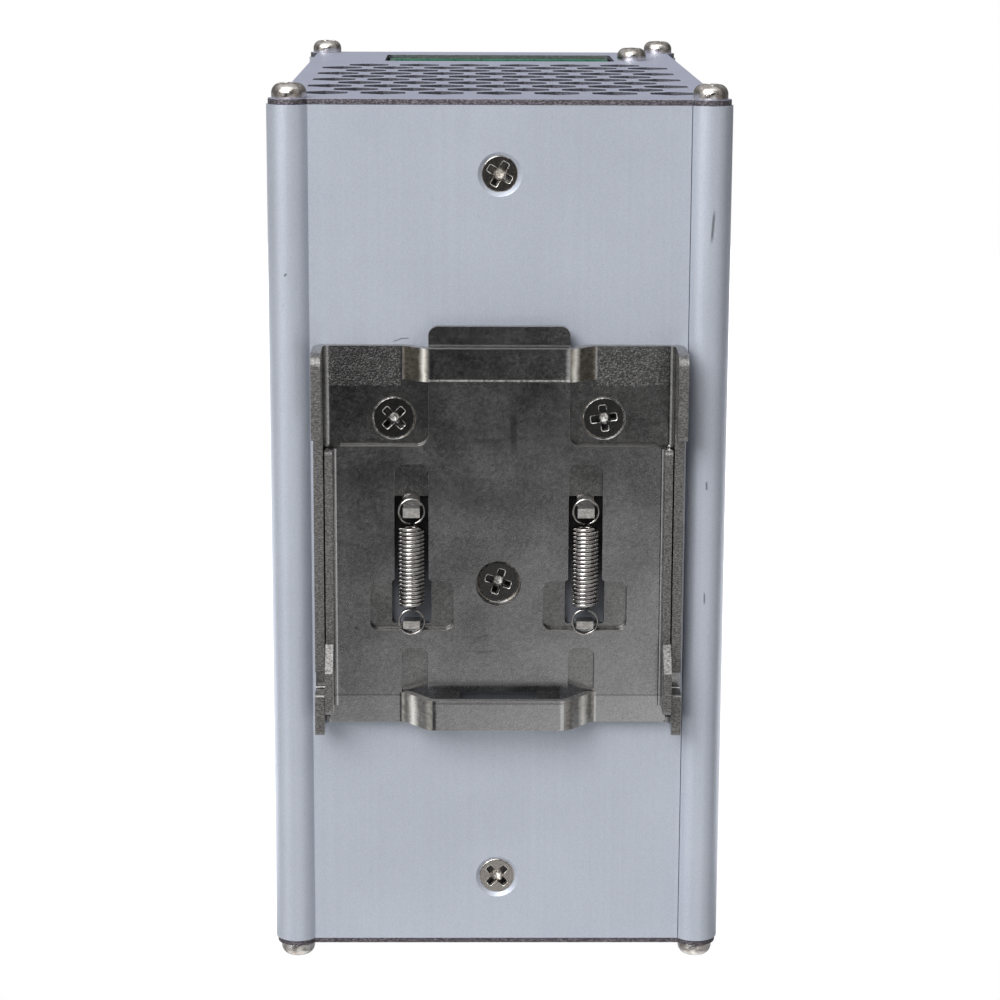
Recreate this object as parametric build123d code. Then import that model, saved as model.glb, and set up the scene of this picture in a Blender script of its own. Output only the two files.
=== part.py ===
"""DIN rail power supply: an extruded aluminium case with a sprung rail clip on its back.

Millimetres. +Z is up, +Y points out of the front panel and -Y towards the rail. The origin
is the bottom centre of the whole part's box, so the part stands on its bottom screw heads.
Heights inside the case are counted from the case's lower end, depths from the rear wall's
outer face, and the clip's heights from the middle of the rail.
"""

from build123d import *
from math import atan2, cos, pi, radians, sin, sqrt, tan
import os

# ---- case profiles and covers ----
case_height = 134.2  # length of both extruded profiles
case_depth = 127.2  # outer face of the rear wall to outer face of the front wall
post_spacing_x = 64.5  # corner screw to corner screw, side to side
post_inset = 2.0  # corner screw axis inside the wall's outer face
post_radius = 3.5
wall = 2.0
joint_gap = 0.1  # between the two profiles where one wall meets the other's post
ledge_reach = 3.9  # ledge behind each free wall edge
ledge_thickness = 1.4
groove_rib = 1.4  # ribs that hold the main board's edges
groove_depth = 1.6
cover_thickness = 0.9
cover_inset = 0.25  # cover edge inside the profile's outline

# ---- vents: rows of hexagons in both covers ----
vent_flats = 7.0
vent_pitch_x = 9.1
vent_pitch_y = 7.9
vent_columns = 7  # in the long rows; the short rows between them hold one fewer
vent_first_row = 13.6  # depth of the first row's centre
vent_cutout_gap = 8.0  # least from a row's centre to the connector cut-out

# ---- screws ----
thread_radius = 1.5
screw_fit = 0.05  # radial, between a thread and its hole
screw_clearance = 0.2  # radial, between a thread and a clearance hole
pan_diameter = 5.4
pan_height = 2.3
pan_edge_radius = 1.6
clip_head_diameter = 6.4  # countersunk heads in the bracket
wall_head_diameter = 5.6  # countersunk heads in the rear wall
flat_head_rim = 0.1  # short straight rim round a countersunk head
cover_screw_length = 8.0
clip_screw_length = 5.0
spreader_screw_length = 8.0
recess_width = 1.15  # wing of the cross recess
recess_reach = 2.05  # radius of the cross recess at the head's face
recess_depth = 1.3

# ---- rail clip: fixed bracket ----
rail_height = 35.0
rail_flange = 1.0
rail_level = 67.6  # middle of the rail above the case's lower end
hook_overlap = 1.2  # how far each hook reaches over the rail's edge
notch_play = 1.0  # free space above the rail's edge in the upper hook
notch_slack = 0.3  # free space beside the rail's flange
bracket_sheet = 1.5
bracket_width = 57.5
bracket_bend = 1.0  # inner bend radius
bracket_top = 29.8
bracket_bottom = -30.6
seat_depth = 4.5  # where the rail's flange rests, behind the rear wall
seat_relief = 0.3  # depth of the corner relief above the seat, which lets the flange lie flat
hook_depth = 10.4  # tips of the upper hooks, behind the rear wall
hook_corner = 2.0
ear_depth = 6.4
ear_top = -24.8
ear_drop = 1.2  # the ear reaches this far below the bracket's plate
dip_depth = 2.6
dip_height = 3.0
bridge_height = 5.2
bridge_half = 11.2  # half the width of the bridge's flat part
bridge_slope = 3.6
bridge_raise = 3.3
upper_screw_x = 16.3
upper_screw_level = 18.45
centre_screw_level = -7.7
screw_sink = 0.05  # countersunk heads below the sheet's face

# ---- rail clip: latch ----
latch_travel = 6.0
latch_sheet = 1.2
latch_gap = 0.1  # between the latch and the bracket's plate
latch_side_gap = 0.25
latch_bend = 0.6
latch_shoulder = 14.2
latch_bottom = -30.2
latch_foot_inset = 0.5  # the plate's lower strip inside the walls' outer faces
tongue_half = 10.95
tongue_top = 33.0
tongue_corner = 1.5
shoulder_fillet = 1.8
bridge_bend = 1.4  # inner bend radius of both bridges
latch_wall_top = 13.8
latch_wall_bottom = -27.5
latch_seat_gap = 0.2  # latch walls below the rail seat
latch_hook_depth = 9.2
latch_ramp = 4.3  # height of the hook's lead-in ramp
latch_notch_play = 0.6
window_x = 13.6
window_width = 5.35
window_top = 11.4
window_step = -7.3
window_bottom = -15.3
window_foot_width = 13.2
window_corner = 1.4
relief_x = 13.1
relief_width = 4.2
relief_top = -18.1
relief_corner = 1.3
pull_top = -25.4  # upper edge of the latch's own bridge
pull_half = 10.9
pull_slope = 4.0
pull_raise = 5.1
access_radius = 3.6  # hole over the centre screw
stop_width = 10.0
stop_reach = 1.1  # stop tab, from the latch's rear face towards the wall
stop_height = 1.2
stop_gap = 0.05

# ---- springs ----
spring_wire = 0.6
spring_radius = 2.1  # coil, outside
spring_depth = 3.15  # coil axis behind the rear wall
spring_top_level = 3.9  # centre of the upper end loop
spring_bottom_level = -13.8
spring_loop_radius = 2.2
spring_riser = 0.4  # square bar between the coil and each end loop
coil_top = 2.0
coil_bottom = -11.6
spring_tab_width = 2.6
spring_tab_short = 0.15  # tab ends behind the rail seat
upper_tab_shift = 0.0
lower_tab_shift = -0.25
spring_hole_width = 6.2
spring_hole_top = 6.1
spring_hole_bottom = -14.5

# ---- main board and what stands on it ----
board_thickness = 1.6
board_fit = 0.1
board_side_gap = 3.6  # between the left wall and the board
board_edge_gap = 1.0  # board ends inside the profiles' ends
insulation_thickness = 0.3
lead_radius = 0.5
part_fit = 0.1  # windings on cores, bobbins on cores

# ---- heat spreader and power devices ----
spreader_width = 24.0
spreader_thickness = 8.0
spreader_margin = 4.0  # below and above, inside the case's ends
spreader_screw_margin = 10.5
spreader_sink = 0.45  # screw heads below the rear wall's face
pad_thickness = 0.3
device_length = 21.0
device_width = 16.0
device_thickness = 5.0
device_shares = (0.377, 0.578, 0.784)  # heights as shares of the case's
bridge_device_share = 0.164
bridge_device_width = 22.0
bridge_device_thickness = 4.0
lead_pitch = 5.45
lead_thickness = 0.6
clamp_thickness = 1.2
clamp_width = 8.0
clamp_screw_length = 6.0

# ---- parts on the main board: places are shares of the case's depth and height ----
bulk_radius = 12.5
bulk_height = 42.0
bulk_places = ((0.283, 0.463), (0.283, 0.672))
output_can_radius = 6.3
output_can_height = 25.0
output_can_places = ((0.487, 0.821), (0.487, 0.933), (0.613, 0.821), (0.613, 0.933))
film_size = (26.0, 10.0, 18.0)
film_places = ((0.566, 0.299), (0.833, 0.388))
disc_radius = 4.5
disc_thickness = 3.0
disc_lift = 3.0  # lower edge of a disc part over the board
disc_places = ((0.723, 0.153), (0.723, 0.235))
varistor_place = (0.865, 0.284)
varistor_radius = 6.0
varistor_thickness = 4.5
fuse_place = (0.849, 0.194)
fuse_radius = 2.6
fuse_tube_radius = 2.4
fuse_length = 20.0
fuse_cap = 5.0
fuse_lift = 1.5
fuse_clip_sheet = 0.5
fuse_clip_fit = 0.05
relay_place = (0.472, 0.373)
relay_size = (19.0, 7.0, 15.0)
coupler_places = ((0.393, 0.806), (0.393, 0.881))
coupler_size = (6.5, 4.6, 3.6)
moulded_corner = 0.6  # upright edges of the moulded boxes

# ---- transformer and chokes ----
transformer_gap = 26.0  # transformer's middle behind the control board
transformer_height_share = 0.582
transformer_post = 12.0
transformer_depth = 15.0
transformer_window = 22.0
transformer_window_width = 7.5
transformer_leg = 5.0
transformer_yoke = 6.0
transformer_tube = 1.0
transformer_build = 5.6
boost_place = (0.283, 0.194)
boost_post = 9.0
boost_depth = 11.0
boost_window = 18.0
boost_window_width = 6.0
boost_leg = 4.0
boost_yoke = 5.0
boost_tube = 0.9
boost_build = 4.2
filter_place = (0.550, 0.134)
filter_outer = 11.0
filter_inner = 6.5
filter_height = 9.0
filter_wire = 1.4
output_choke_place = (0.283, 0.888)
output_choke_outer = 9.0
output_choke_inner = 5.0
output_choke_height = 8.0
output_choke_wire = 1.2
ring_edge = 1.0  # rounding of a ring core's edges
ring_gap_degrees = 40.0

# ---- control board, upright on the main board ----
control_depth = 106.0  # its rear face, inside the case
control_low_share = 0.448
control_high_share = 0.687
control_reach = 44.0
control_thickness = 1.6
chip_places = ((0.227, 0.25), (0.227, 0.75), (0.636, 0.5))  # shares of the board's reach and height
chip_size = (9.9, 6.0, 1.6)

# ---- connectors ----
header_x = 1.1
header_sink = 0.7  # connector face below the cover's face
header_height = 12.0
header_width = 12.0
header_wall = 1.2
header_floor = 3.5
header_end = 0.5  # housing beyond the end poles' cells
header_gap = 0.5  # round the connector in its cut-out
pin_size = 1.0
pin_recess = 1.5
pin_offset = 3.4  # pin row from the cavity's rear wall
output_poles = 8
output_pitch = 5.08
input_poles = 3
input_pitch = 7.62
cutout_front_inset = 9.9  # cut-out's front edge behind the front wall's outer face
cutout_depth = 20.3
cutout_corner = 1.0
terminal_board_inset = 6.2  # board's front edge behind the front wall's outer face
terminal_board_depth = 31.0
terminal_board_right = 30.0
terminal_screw_x = 25.8
terminal_screw_inset = 25.7  # behind the front wall's outer face
bracket_flange = 8.0
bracket_leg_sheet = 1.2

# ---- front panel parts ----
front_board_gap = 6.0  # between the front board and the front wall
front_board_height = 16.0
front_board_right = 28.0
panel_part_drop = 30.1  # lamp and trimmer below the case's upper end
led_x = 4.0
led_radius = 1.5
led_height = 3.0
pipe_gap = 0.3
pipe_proud = 0.8
pipe_collar = 0.7
pipe_collar_thickness = 1.0
panel_hole_fit = 0.1
trimmer_x = 18.0
trimmer_size = 6.6
trimmer_body_depth = 4.6
trimmer_shaft_radius = 1.5
trimmer_fit = 0.05
trimmer_engagement = 3.0
trimmer_sink = 0.6
trimmer_hole_radius = 2.3
trimmer_slot = 0.6
trimmer_slot_depth = 0.8

# ---- derived places ----
half_post = post_spacing_x / 2
side_x = half_post + post_inset  # outer face of the side walls
post_proud = post_radius - post_inset
rear_y = (hook_depth - case_depth - post_proud) / 2
front_y = rear_y + case_depth
middle_y = (rear_y + front_y) / 2
rear_post_y = rear_y + post_inset
front_post_y = front_y - post_inset
seam_x = half_post - sqrt(post_radius**2 - post_inset**2)
case_bottom = pan_height + cover_thickness
case_top = case_bottom + case_height
rail_z = case_bottom + rail_level
inner_x = side_x - wall
board_x = -inner_x + board_side_gap + board_thickness  # component face of the main board
hole_radius = thread_radius + screw_fit
free_hole_radius = thread_radius + screw_clearance
cutout_front = case_depth - cutout_front_inset
terminal_board_front = case_depth - terminal_board_inset
terminal_screw_depth = case_depth - terminal_screw_inset
vent_rows = int((cutout_front - cutout_depth - vent_cutout_gap - vent_first_row) / vent_pitch_y) + 1
panel_part_level = case_height - panel_part_drop
control_low = control_low_share * case_height
control_high = control_high_share * case_height
transformer_place = ((control_depth - transformer_gap) / case_depth, transformer_height_share)
front_board_bottom = panel_part_level - front_board_height / 2
ledge_front = front_y - wall - joint_gap
ledge_back = ledge_front - ledge_thickness


def block(x, y, z):
    """Box between the (low, high) pairs given for each axis."""
    sizes = [high - low for low, high in (x, y, z)]
    middles = [(high + low) / 2 for low, high in (x, y, z)]
    return Pos(*middles) * Box(*sizes)


def rod(start, direction, radius, length):
    """Round bar from a start point along a direction."""
    return extrude(Plane(origin=start, z_dir=direction) * Circle(radius), amount=length)


def outline(*corners):
    """Closed face through (x, y) or (x, y, corner radius) points, with round corners as arcs."""
    count = len(corners)
    starts, ends, edges = [], [], []
    for i, corner in enumerate(corners):
        here = Vector(*corner[:2])
        radius = corner[2] if len(corner) > 2 else 0
        if not radius:
            starts.append(here)
            ends.append(here)
            continue
        back = (Vector(*corners[i - 1][:2]) - here).normalized()
        ahead = (Vector(*corners[(i + 1) % count][:2]) - here).normalized()
        half = radians(back.get_angle(ahead)) / 2
        middle = here + (back + ahead).normalized() * (radius / sin(half) - radius)
        starts.append(here + back * (radius / tan(half)))
        ends.append(here + ahead * (radius / tan(half)))
        edges.append(ThreePointArc(starts[-1], middle, ends[-1]))
    for i in range(count):
        start, end = ends[i], starts[(i + 1) % count]
        if (end - start).length > 1e-6:
            edges.append(Line(start, end))
    return make_face(edges)


def across(face, z_low, z_high):
    """Face drawn in X and Y, extruded from one height to another."""
    return extrude(Plane.XY.offset(z_low) * face, amount=z_high - z_low)


def rearward(face, depth_low, depth_high):
    """Face drawn in X and height, extruded between two distances behind the rear wall."""
    plane = Plane(origin=(0, rear_y - depth_low, 0), x_dir=(1, 0, 0), z_dir=(0, -1, 0))
    return extrude(plane * face, amount=depth_high - depth_low)


def sideways(face, half_width):
    """Face drawn in distance behind the rear wall and height, extruded both ways along X."""
    plane = Plane(origin=(0, rear_y, 0), x_dir=(0, -1, 0), z_dir=(-1, 0, 0))
    return extrude(plane * face, amount=half_width, both=True)


def inside(depth):
    """Y of a point at some depth inside the case."""
    return rear_y + depth


def level(height):
    """Z of a point at some height above the case's lower end."""
    return case_bottom + height


# ---- screws ----
def cross_recess():
    """Tapered cross cut, its mouth at z = 0 and its tip below."""
    wing = Box(recess_width, 2 * recess_reach, recess_depth)
    cone = Cone(recess_width / 2, recess_reach, recess_depth)
    return Pos(0, 0, -recess_depth / 2) * ((wing + Rot(0, 0, 90) * wing) & cone)


def pan_screw(length):
    """Pan head screw with its head on z = 0 and its shank below."""
    radius = pan_diameter / 2
    half = outline((0, 0), (radius, 0), (radius, pan_height, pan_edge_radius), (0, pan_height))
    head = revolve(Plane.XZ * half, axis=Axis.Z)
    shank = rod((0, 0, 0), (0, 0, -1), thread_radius, length)
    return head + shank - Pos(0, 0, pan_height) * cross_recess()


def flat_screw(head_diameter, length):
    """Countersunk screw with its head's face at z = 0 and its shank below."""
    radius = head_diameter / 2
    cone_end = flat_head_rim + radius - thread_radius
    half = outline(
        (0, 0), (radius, 0), (radius, -flat_head_rim), (thread_radius, -cone_end),
        (thread_radius, -length), (0, -length),
    )
    return revolve(Plane.XZ * half, axis=Axis.Z) - cross_recess()


def flat_screw_hole(head_diameter, sink):
    """Cutter for a countersunk screw whose head's face lies this far below z = 0."""
    mouth = head_diameter / 2 + screw_fit + flat_head_rim + sink
    height = mouth + 1 - hole_radius
    cone = Pos(0, 0, 1 - height / 2) * Cone(hole_radius, mouth + 1, height)
    return cone + Cylinder(hole_radius, 2 * spreader_screw_length)


def facing_rear(x, depth, z, turn=0):
    """Location at a distance behind the rear wall, with local +Z pointing to the rear."""
    return Pos(x, rear_y - depth, z) * Rot(90, 0, 0) * Rot(0, 0, turn)


corner_posts = [(sx * half_post, y) for sx in (-1, 1) for y in (rear_post_y, front_post_y)]
bracket_screw_places = [
    (-upper_screw_x, rail_z + upper_screw_level),
    (upper_screw_x, rail_z + upper_screw_level),
    (0, rail_z + centre_screw_level),
]
spreader_screw_places = [
    (0, level(spreader_screw_margin)),
    (0, level(case_height - spreader_screw_margin)),
]
terminal_screw_y = inside(terminal_screw_depth)


# ---- case ----
def profile_section():
    """Rear wall, left wall and both left posts; the other profile is this one turned round."""
    wall_end = seam_x - joint_gap / 2
    pocket_x = -seam_x - joint_gap / 2

    def rectangle(x, y):
        return Pos((x[0] + x[1]) / 2, (y[0] + y[1]) / 2) * Rectangle(x[1] - x[0], y[1] - y[0])

    section = rectangle((-half_post, wall_end), (rear_y, rear_y + wall))
    section += rectangle((-side_x, -inner_x), (rear_post_y, front_post_y))
    for y in (rear_post_y, front_post_y):
        section += Pos(-half_post, y) * Circle(post_radius)
    section += rectangle((-half_post, -seam_x + ledge_reach), (ledge_back, ledge_front))
    for x in (board_x - board_thickness - board_fit - groove_rib, board_x + board_fit):
        ribs = (rear_y + wall / 2, rear_y + wall + groove_depth)
        section += rectangle((x, x + groove_rib), ribs)
        section += rectangle((x, x + groove_rib), (ledge_back - groove_depth, ledge_front))
    section -= rectangle((pocket_x, 0), (ledge_front, front_y + post_radius))
    for y in (rear_post_y, front_post_y):
        section -= Pos(-half_post, y) * Circle(hole_radius)
    return section


def housing_profile_rear():
    body = across(profile_section(), case_bottom, case_top)
    for x, z in bracket_screw_places:
        body -= facing_rear(x, bracket_sheet, z) * flat_screw_hole(clip_head_diameter, screw_sink)
    for x, z in spreader_screw_places:
        body -= facing_rear(x, 0, z) * flat_screw_hole(wall_head_diameter, spreader_sink)
    return body


def housing_profile_front():
    half_turn = Pos(0, 2 * middle_y, 0) * Rot(0, 0, 180)
    body = across(half_turn * profile_section(), case_bottom, case_top)
    for x, radius in ((led_x, led_radius + panel_hole_fit), (trimmer_x, trimmer_hole_radius)):
        body -= rod((x, front_y - 3 * wall, level(panel_part_level)), (0, 1, 0), radius, 6 * wall)
    return body


def header_length(poles, pitch):
    return poles * pitch + 2 * header_end


def header_front():
    """Depth of a connector's front face."""
    return cutout_front - header_gap


def vent_sketch():
    """Staggered rows of hexagons, their flats facing left and right."""
    hexagon = RegularPolygon(vent_flats / 2, 6, major_radius=False, rotation=30)
    places = []
    for row in range(vent_rows):
        columns = vent_columns - row % 2
        y = inside(vent_first_row + row * vent_pitch_y)
        places += [((c - (columns - 1) / 2) * vent_pitch_x, y) for c in range(columns)]
    return [Pos(x, y) * hexagon for x, y in places]


def cover(poles, pitch):
    """Cover in its own plane, lower face at z = 0, with vents, holes and a connector cut-out."""
    reach = side_x - cover_inset
    sheet = Pos(0, middle_y) * Rectangle(2 * reach, front_post_y - rear_post_y)
    sheet += Pos(0, middle_y) * Rectangle(post_spacing_x, case_depth - 2 * cover_inset)
    for x, y in corner_posts:
        sheet += Pos(x, y) * Circle(post_radius - cover_inset)
    for x, y in [*corner_posts, (terminal_screw_x, terminal_screw_y)]:
        sheet -= Pos(x, y) * Circle(free_hole_radius)
    width = header_length(poles, pitch) + 2 * header_gap
    opening = Rectangle(width, cutout_depth)
    opening = fillet(opening.vertices(), cutout_corner)
    sheet -= Pos(header_x, inside(cutout_front - cutout_depth / 2)) * opening
    plate = extrude(sheet, amount=cover_thickness)
    vents = [extrude(v, amount=3 * cover_thickness, both=True) for v in vent_sketch()]
    return plate - vents


# ---- rail clip ----
def bridge_face(flat_half, slope, rise, near, sheet):
    """Bridge seen from above, in X and distance behind the wall: up, across and down again.

    near is the sheet's rear face at the bridge's feet. The inner and outer corners are
    shifted by the sheet's thickness times the tangent of half the bend, which keeps the
    thickness the same along the slopes.
    """
    shift = sheet * tan(atan2(rise, slope) / 2)
    foot = flat_half + slope
    tight, wide = bridge_bend, bridge_bend + sheet
    front = near + sheet
    return outline(
        (-foot - 1, front), (-foot, front, tight), (-flat_half, front + rise, wide),
        (flat_half, front + rise, wide), (foot, front, tight), (foot + 1, front),
        (foot + 1, near), (foot - shift, near, wide), (flat_half - shift, near + rise, tight),
        (shift - flat_half, near + rise, tight), (shift - foot, near, wide),
        (-foot - 1, near),
    )


def bridge(flat_half, slope, rise, near, sheet, z_low, z_high):
    """Solid bridge between two heights."""
    face = bridge_face(flat_half, slope, rise, near, sheet)
    return across(Pos(0, rear_y) * mirror(face, about=Plane.XZ), z_low, z_high)


def channel(half_width, near, sheet, bend, depth):
    """U-shaped section in X and Y: a plate with two walls that point to the rear."""
    outer = outline(
        (-half_width, -near, bend + sheet), (-half_width, -depth), (half_width, -depth),
        (half_width, -near, bend + sheet),
    )
    inner_half = half_width - sheet
    inner = outline(
        (-inner_half, -near - sheet, bend), (-inner_half, -depth - 1), (inner_half, -depth - 1),
        (inner_half, -near - sheet, bend),
    )
    return Pos(0, rear_y) * (outer - inner)


def spring_tab(side, centre, sheet, near, neck_to):
    """Bent tab that a spring loop hooks over, with the neck that joins it to its plate."""
    x = (side * window_x - spring_tab_width / 2, side * window_x + spring_tab_width / 2)
    tip = rear_y - seat_depth + spring_tab_short
    low, high = centre - sheet / 2, centre + sheet / 2
    tab = block(x, (tip, rear_y - near), (low, high))
    neck = block(
        x, (rear_y - near - sheet, rear_y - near), (min(low, neck_to), max(high, neck_to))
    )
    return tab + neck


def rail_bracket():
    top, bottom = rail_z + bracket_top, rail_z + bracket_bottom
    half = bracket_width / 2
    notch_roof = rail_z + rail_height / 2 + notch_play
    nose = rail_z + rail_height / 2 - hook_overlap
    catch_depth = seat_depth + rail_flange + notch_slack
    ear_z = rail_z + ear_top
    section = channel(half, 0, bracket_sheet, bracket_bend, hook_depth)
    body = across(section, bottom - ear_drop, top)
    side = outline(
        (0, bottom), (bracket_sheet, bottom), (ear_depth, bottom - ear_drop, 0.8),
        (ear_depth, ear_z, 0.5), (dip_depth, ear_z, 0.4), (dip_depth, ear_z + dip_height, 0.4),
        (seat_depth, ear_z + dip_height, 0.5), (seat_depth, nose - seat_relief),
        (seat_depth - seat_relief, nose), (seat_depth - seat_relief, notch_roof),
        (catch_depth, notch_roof),
        (catch_depth, nose, 0.4), (hook_depth, nose, hook_corner / 2), (hook_depth, top, hook_corner),
        (0, top),
    )
    body &= sideways(side, half + 1)
    foot = bridge_half + bridge_slope
    bridge_low = top - bridge_height
    body -= block(
        (-foot, foot), (rear_y - bracket_sheet - 1, rear_y + 1), (bridge_low, top + 1)
    )
    body += bridge(bridge_half, bridge_slope, bridge_raise, 0, bracket_sheet, bridge_low, top)
    hole_middle = rail_z + (spring_hole_top + spring_hole_bottom) / 2
    hole = Rectangle(spring_hole_width, spring_hole_top - spring_hole_bottom)
    hole = fillet(hole.vertices(), bracket_bend / 2)
    for side_sign in (-1, 1):
        place = Pos(side_sign * window_x, hole_middle)
        body -= rearward(place * hole, -1, bracket_sheet + 1)
        body += spring_tab(
            side_sign, rail_z + spring_top_level + upper_tab_shift, bracket_sheet, 0,
            rail_z + spring_hole_top,
        )
    stop_face = rail_z + pull_top + stop_height + stop_gap
    body -= block(
        (-stop_width / 2 - 1, stop_width / 2 + 1), (rear_y - bracket_sheet - 1, rear_y + 1),
        (bottom - 1, stop_face),
    )
    for x, z in bracket_screw_places:
        body -= facing_rear(x, bracket_sheet, z) * flat_screw_hole(clip_head_diameter, screw_sink)
    return body


def rail_latch():
    near = bracket_sheet + latch_gap
    half = bracket_width / 2 - bracket_sheet - latch_side_gap
    shoulder, bottom = rail_z + latch_shoulder, rail_z + latch_bottom
    wall_top, wall_bottom = rail_z + latch_wall_top, rail_z + latch_wall_bottom
    low_depth = seat_depth - latch_seat_gap
    catch_depth = seat_depth + rail_flange + notch_slack
    nose = rail_z - rail_height / 2 + hook_overlap
    notch_floor = rail_z - rail_height / 2 - latch_notch_play
    section = channel(half, near, latch_sheet, latch_bend, latch_hook_depth)
    body = across(section, wall_bottom, wall_top)
    side = outline(
        (near, wall_bottom), (near, wall_top), (low_depth, wall_top, 0.8),
        (low_depth, notch_floor), (catch_depth, notch_floor), (catch_depth, nose, 0.2),
        (latch_hook_depth, nose - latch_ramp, 0.6), (latch_hook_depth, wall_bottom, 1.0),
    )
    body &= sideways(side, half + 1)
    flat_half = half - latch_bend - latch_sheet
    foot_half = half - latch_foot_inset
    plate = outline(
        (-foot_half, bottom, 0.5), (foot_half, bottom, 0.5), (foot_half, wall_bottom),
        (flat_half, wall_bottom), (flat_half, shoulder, 0.8), (tongue_half, shoulder, shoulder_fillet),
        (tongue_half, rail_z + tongue_top, tongue_corner),
        (-tongue_half, rail_z + tongue_top, tongue_corner), (-tongue_half, shoulder, shoulder_fillet),
        (-flat_half, shoulder, 0.8), (-flat_half, wall_bottom), (-foot_half, wall_bottom),
    )
    body += rearward(plate, near, near + latch_sheet)
    foot = pull_half + pull_slope
    strip_top = rail_z + pull_top
    body -= block(
        (-foot, foot), (rear_y - near - latch_sheet - 1, rear_y), (bottom - 1, strip_top)
    )
    half_window, half_foot = window_width / 2, window_foot_width / 2
    step = rail_z + window_step
    window = outline(
        (-half_foot, rail_z + window_bottom, window_corner),
        (half_foot, rail_z + window_bottom, window_corner), (half_foot, step, window_corner),
        (half_window, step, 0.5), (half_window, rail_z + window_top, window_corner),
        (-half_window, rail_z + window_top, window_corner), (-half_window, step, 0.5),
        (-half_foot, step, window_corner),
    )
    half_relief = relief_width / 2
    relief = outline(
        (-half_relief, strip_top - 1), (half_relief, strip_top - 1),
        (half_relief, rail_z + relief_top, relief_corner),
        (-half_relief, rail_z + relief_top, relief_corner),
    )
    for side_sign in (-1, 1):
        for face, x in ((window, window_x), (relief, relief_x)):
            body -= rearward(Pos(side_sign * x, 0) * face, near - 1, near + latch_sheet + 1)
        body += spring_tab(
            side_sign, rail_z + spring_bottom_level + lower_tab_shift, latch_sheet, near,
            rail_z + window_bottom,
        )
    access = Cylinder(access_radius, 4 * (latch_sheet + near))
    body -= facing_rear(0, near, rail_z + centre_screw_level) * access
    body += bridge(pull_half, pull_slope, pull_raise, near, latch_sheet, bottom, strip_top)
    body += block(
        (-stop_width / 2, stop_width / 2), (rear_y - near - latch_sheet, rear_y - near + stop_reach),
        (strip_top, strip_top + stop_height),
    )
    return body


def latch_spring(side):
    """Extension spring: coil as a tube, and a ring at each end that hooks over a tab."""
    x, y = side * window_x, rear_y - spring_depth
    coil = rod((x, y, rail_z + coil_bottom), (0, 0, 1), spring_radius, coil_top - coil_bottom)
    coil -= rod(
        (x, y, rail_z + coil_bottom), (0, 0, 1), spring_radius - spring_wire, coil_top - coil_bottom
    )
    ring = Torus(spring_loop_radius - spring_wire / 2, spring_wire / 2)
    riser_x = x + side * (spring_radius - spring_wire / 2)
    for end, loop in ((coil_top, spring_top_level), (coil_bottom, spring_bottom_level)):
        coil += Pos(x, y, rail_z + loop) * Rot(90, 0, 0) * ring
        inset = spring_wire if loop > end else -spring_wire
        heights = sorted((rail_z + end - inset, rail_z + loop))
        width = spring_riser / 2
        coil += block((riser_x - width, riser_x + width), (y - width, y + width), heights)
    return coil


# ---- heat spreader and power devices ----
spreader_front = rear_y + wall + spreader_thickness
device_back = spreader_front + pad_thickness


def heat_spreader():
    half = spreader_width / 2
    body = block(
        (-half, half), (rear_y + wall, spreader_front),
        (level(spreader_margin), level(case_height - spreader_margin)),
    )
    for x, z in spreader_screw_places:
        body -= facing_rear(x, 0, z) * Cylinder(hole_radius, 2 * (spreader_screw_length + 1))
    relief_depth = clip_screw_length - bracket_sheet - wall + 1
    for x, z in bracket_screw_places:
        hole = Cylinder(free_hole_radius, 2 * relief_depth)
        body -= Pos(x, rear_y + wall, z) * Rot(90, 0, 0) * hole
    for z in clamp_levels():
        body -= Pos(0, spreader_front, z) * Rot(90, 0, 0) * Cylinder(hole_radius, spreader_thickness + 2)
    return body


def device_places():
    """Height, width and thickness of each clamped device."""
    wide = level(bridge_device_share * case_height), bridge_device_width, bridge_device_thickness
    heights = [level(share * case_height) for share in device_shares]
    return [wide, *((z, device_width, device_thickness) for z in heights)]


def clamp_levels():
    """Height of each clamp's screw, just above its device."""
    gap = pan_diameter / 2 + 1
    return [z + width / 2 + gap for z, width, _ in device_places()]


def thermal_pads():
    half = device_length / 2
    return [
        block((-half, half), (spreader_front, device_back), (z - width / 2, z + width / 2))
        for z, width, _ in device_places()
    ]


def device(z, width, thickness, pins):
    """Moulded package lying on the spreader, its leads running to the main board."""
    half = device_length / 2
    back = device_back
    body = block((-half, half), (back, back + thickness), (z - width / 2, z + width / 2))
    body = chamfer(body.faces().sort_by(Axis.Y)[-1].edges(), 0.5)
    for i in range(pins):
        pin_z = z + (i - (pins - 1) / 2) * lead_pitch
        body += block(
            (board_x, -half), (back + thickness / 2 - lead_thickness / 2,
            back + thickness / 2 + lead_thickness / 2),
            (pin_z - lead_radius, pin_z + lead_radius),
        )
    return body


def power_transistors():
    return [device(*place, 3) for place in device_places()[1:]]


def bridge_rectifier():
    return [device(*device_places()[0], 4)]


def device_clamps():
    """Flat springs, each pressed on its device by a screw beside it."""
    clamps = []
    for (z, width, thickness), screw_z in zip(device_places(), clamp_levels()):
        face = device_back + thickness
        reach = z - width / 8
        clamp = block(
            (-clamp_width / 2, clamp_width / 2), (face, face + clamp_thickness),
            (reach, screw_z + pan_diameter / 2),
        )
        foot = block(
            (-clamp_width / 2, clamp_width / 2), (spreader_front, face),
            (z + width / 2 + 0.3, screw_z + pan_diameter / 2),
        )
        bore = Cylinder(hole_radius, 4 * (thickness + clamp_thickness))
        hole = Pos(0, face, screw_z) * Rot(90, 0, 0) * bore
        clamps.append(clamp + foot - hole)
    return clamps


def clamp_screws():
    screws = []
    for (_, _, thickness), screw_z in zip(device_places(), clamp_levels()):
        face = device_back + thickness + clamp_thickness
        length = thickness + clamp_thickness + clamp_screw_length / 2
        screws.append(Pos(0, face, screw_z) * Rot(-90, 0, 0) * pan_screw(length))
    return screws


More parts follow.
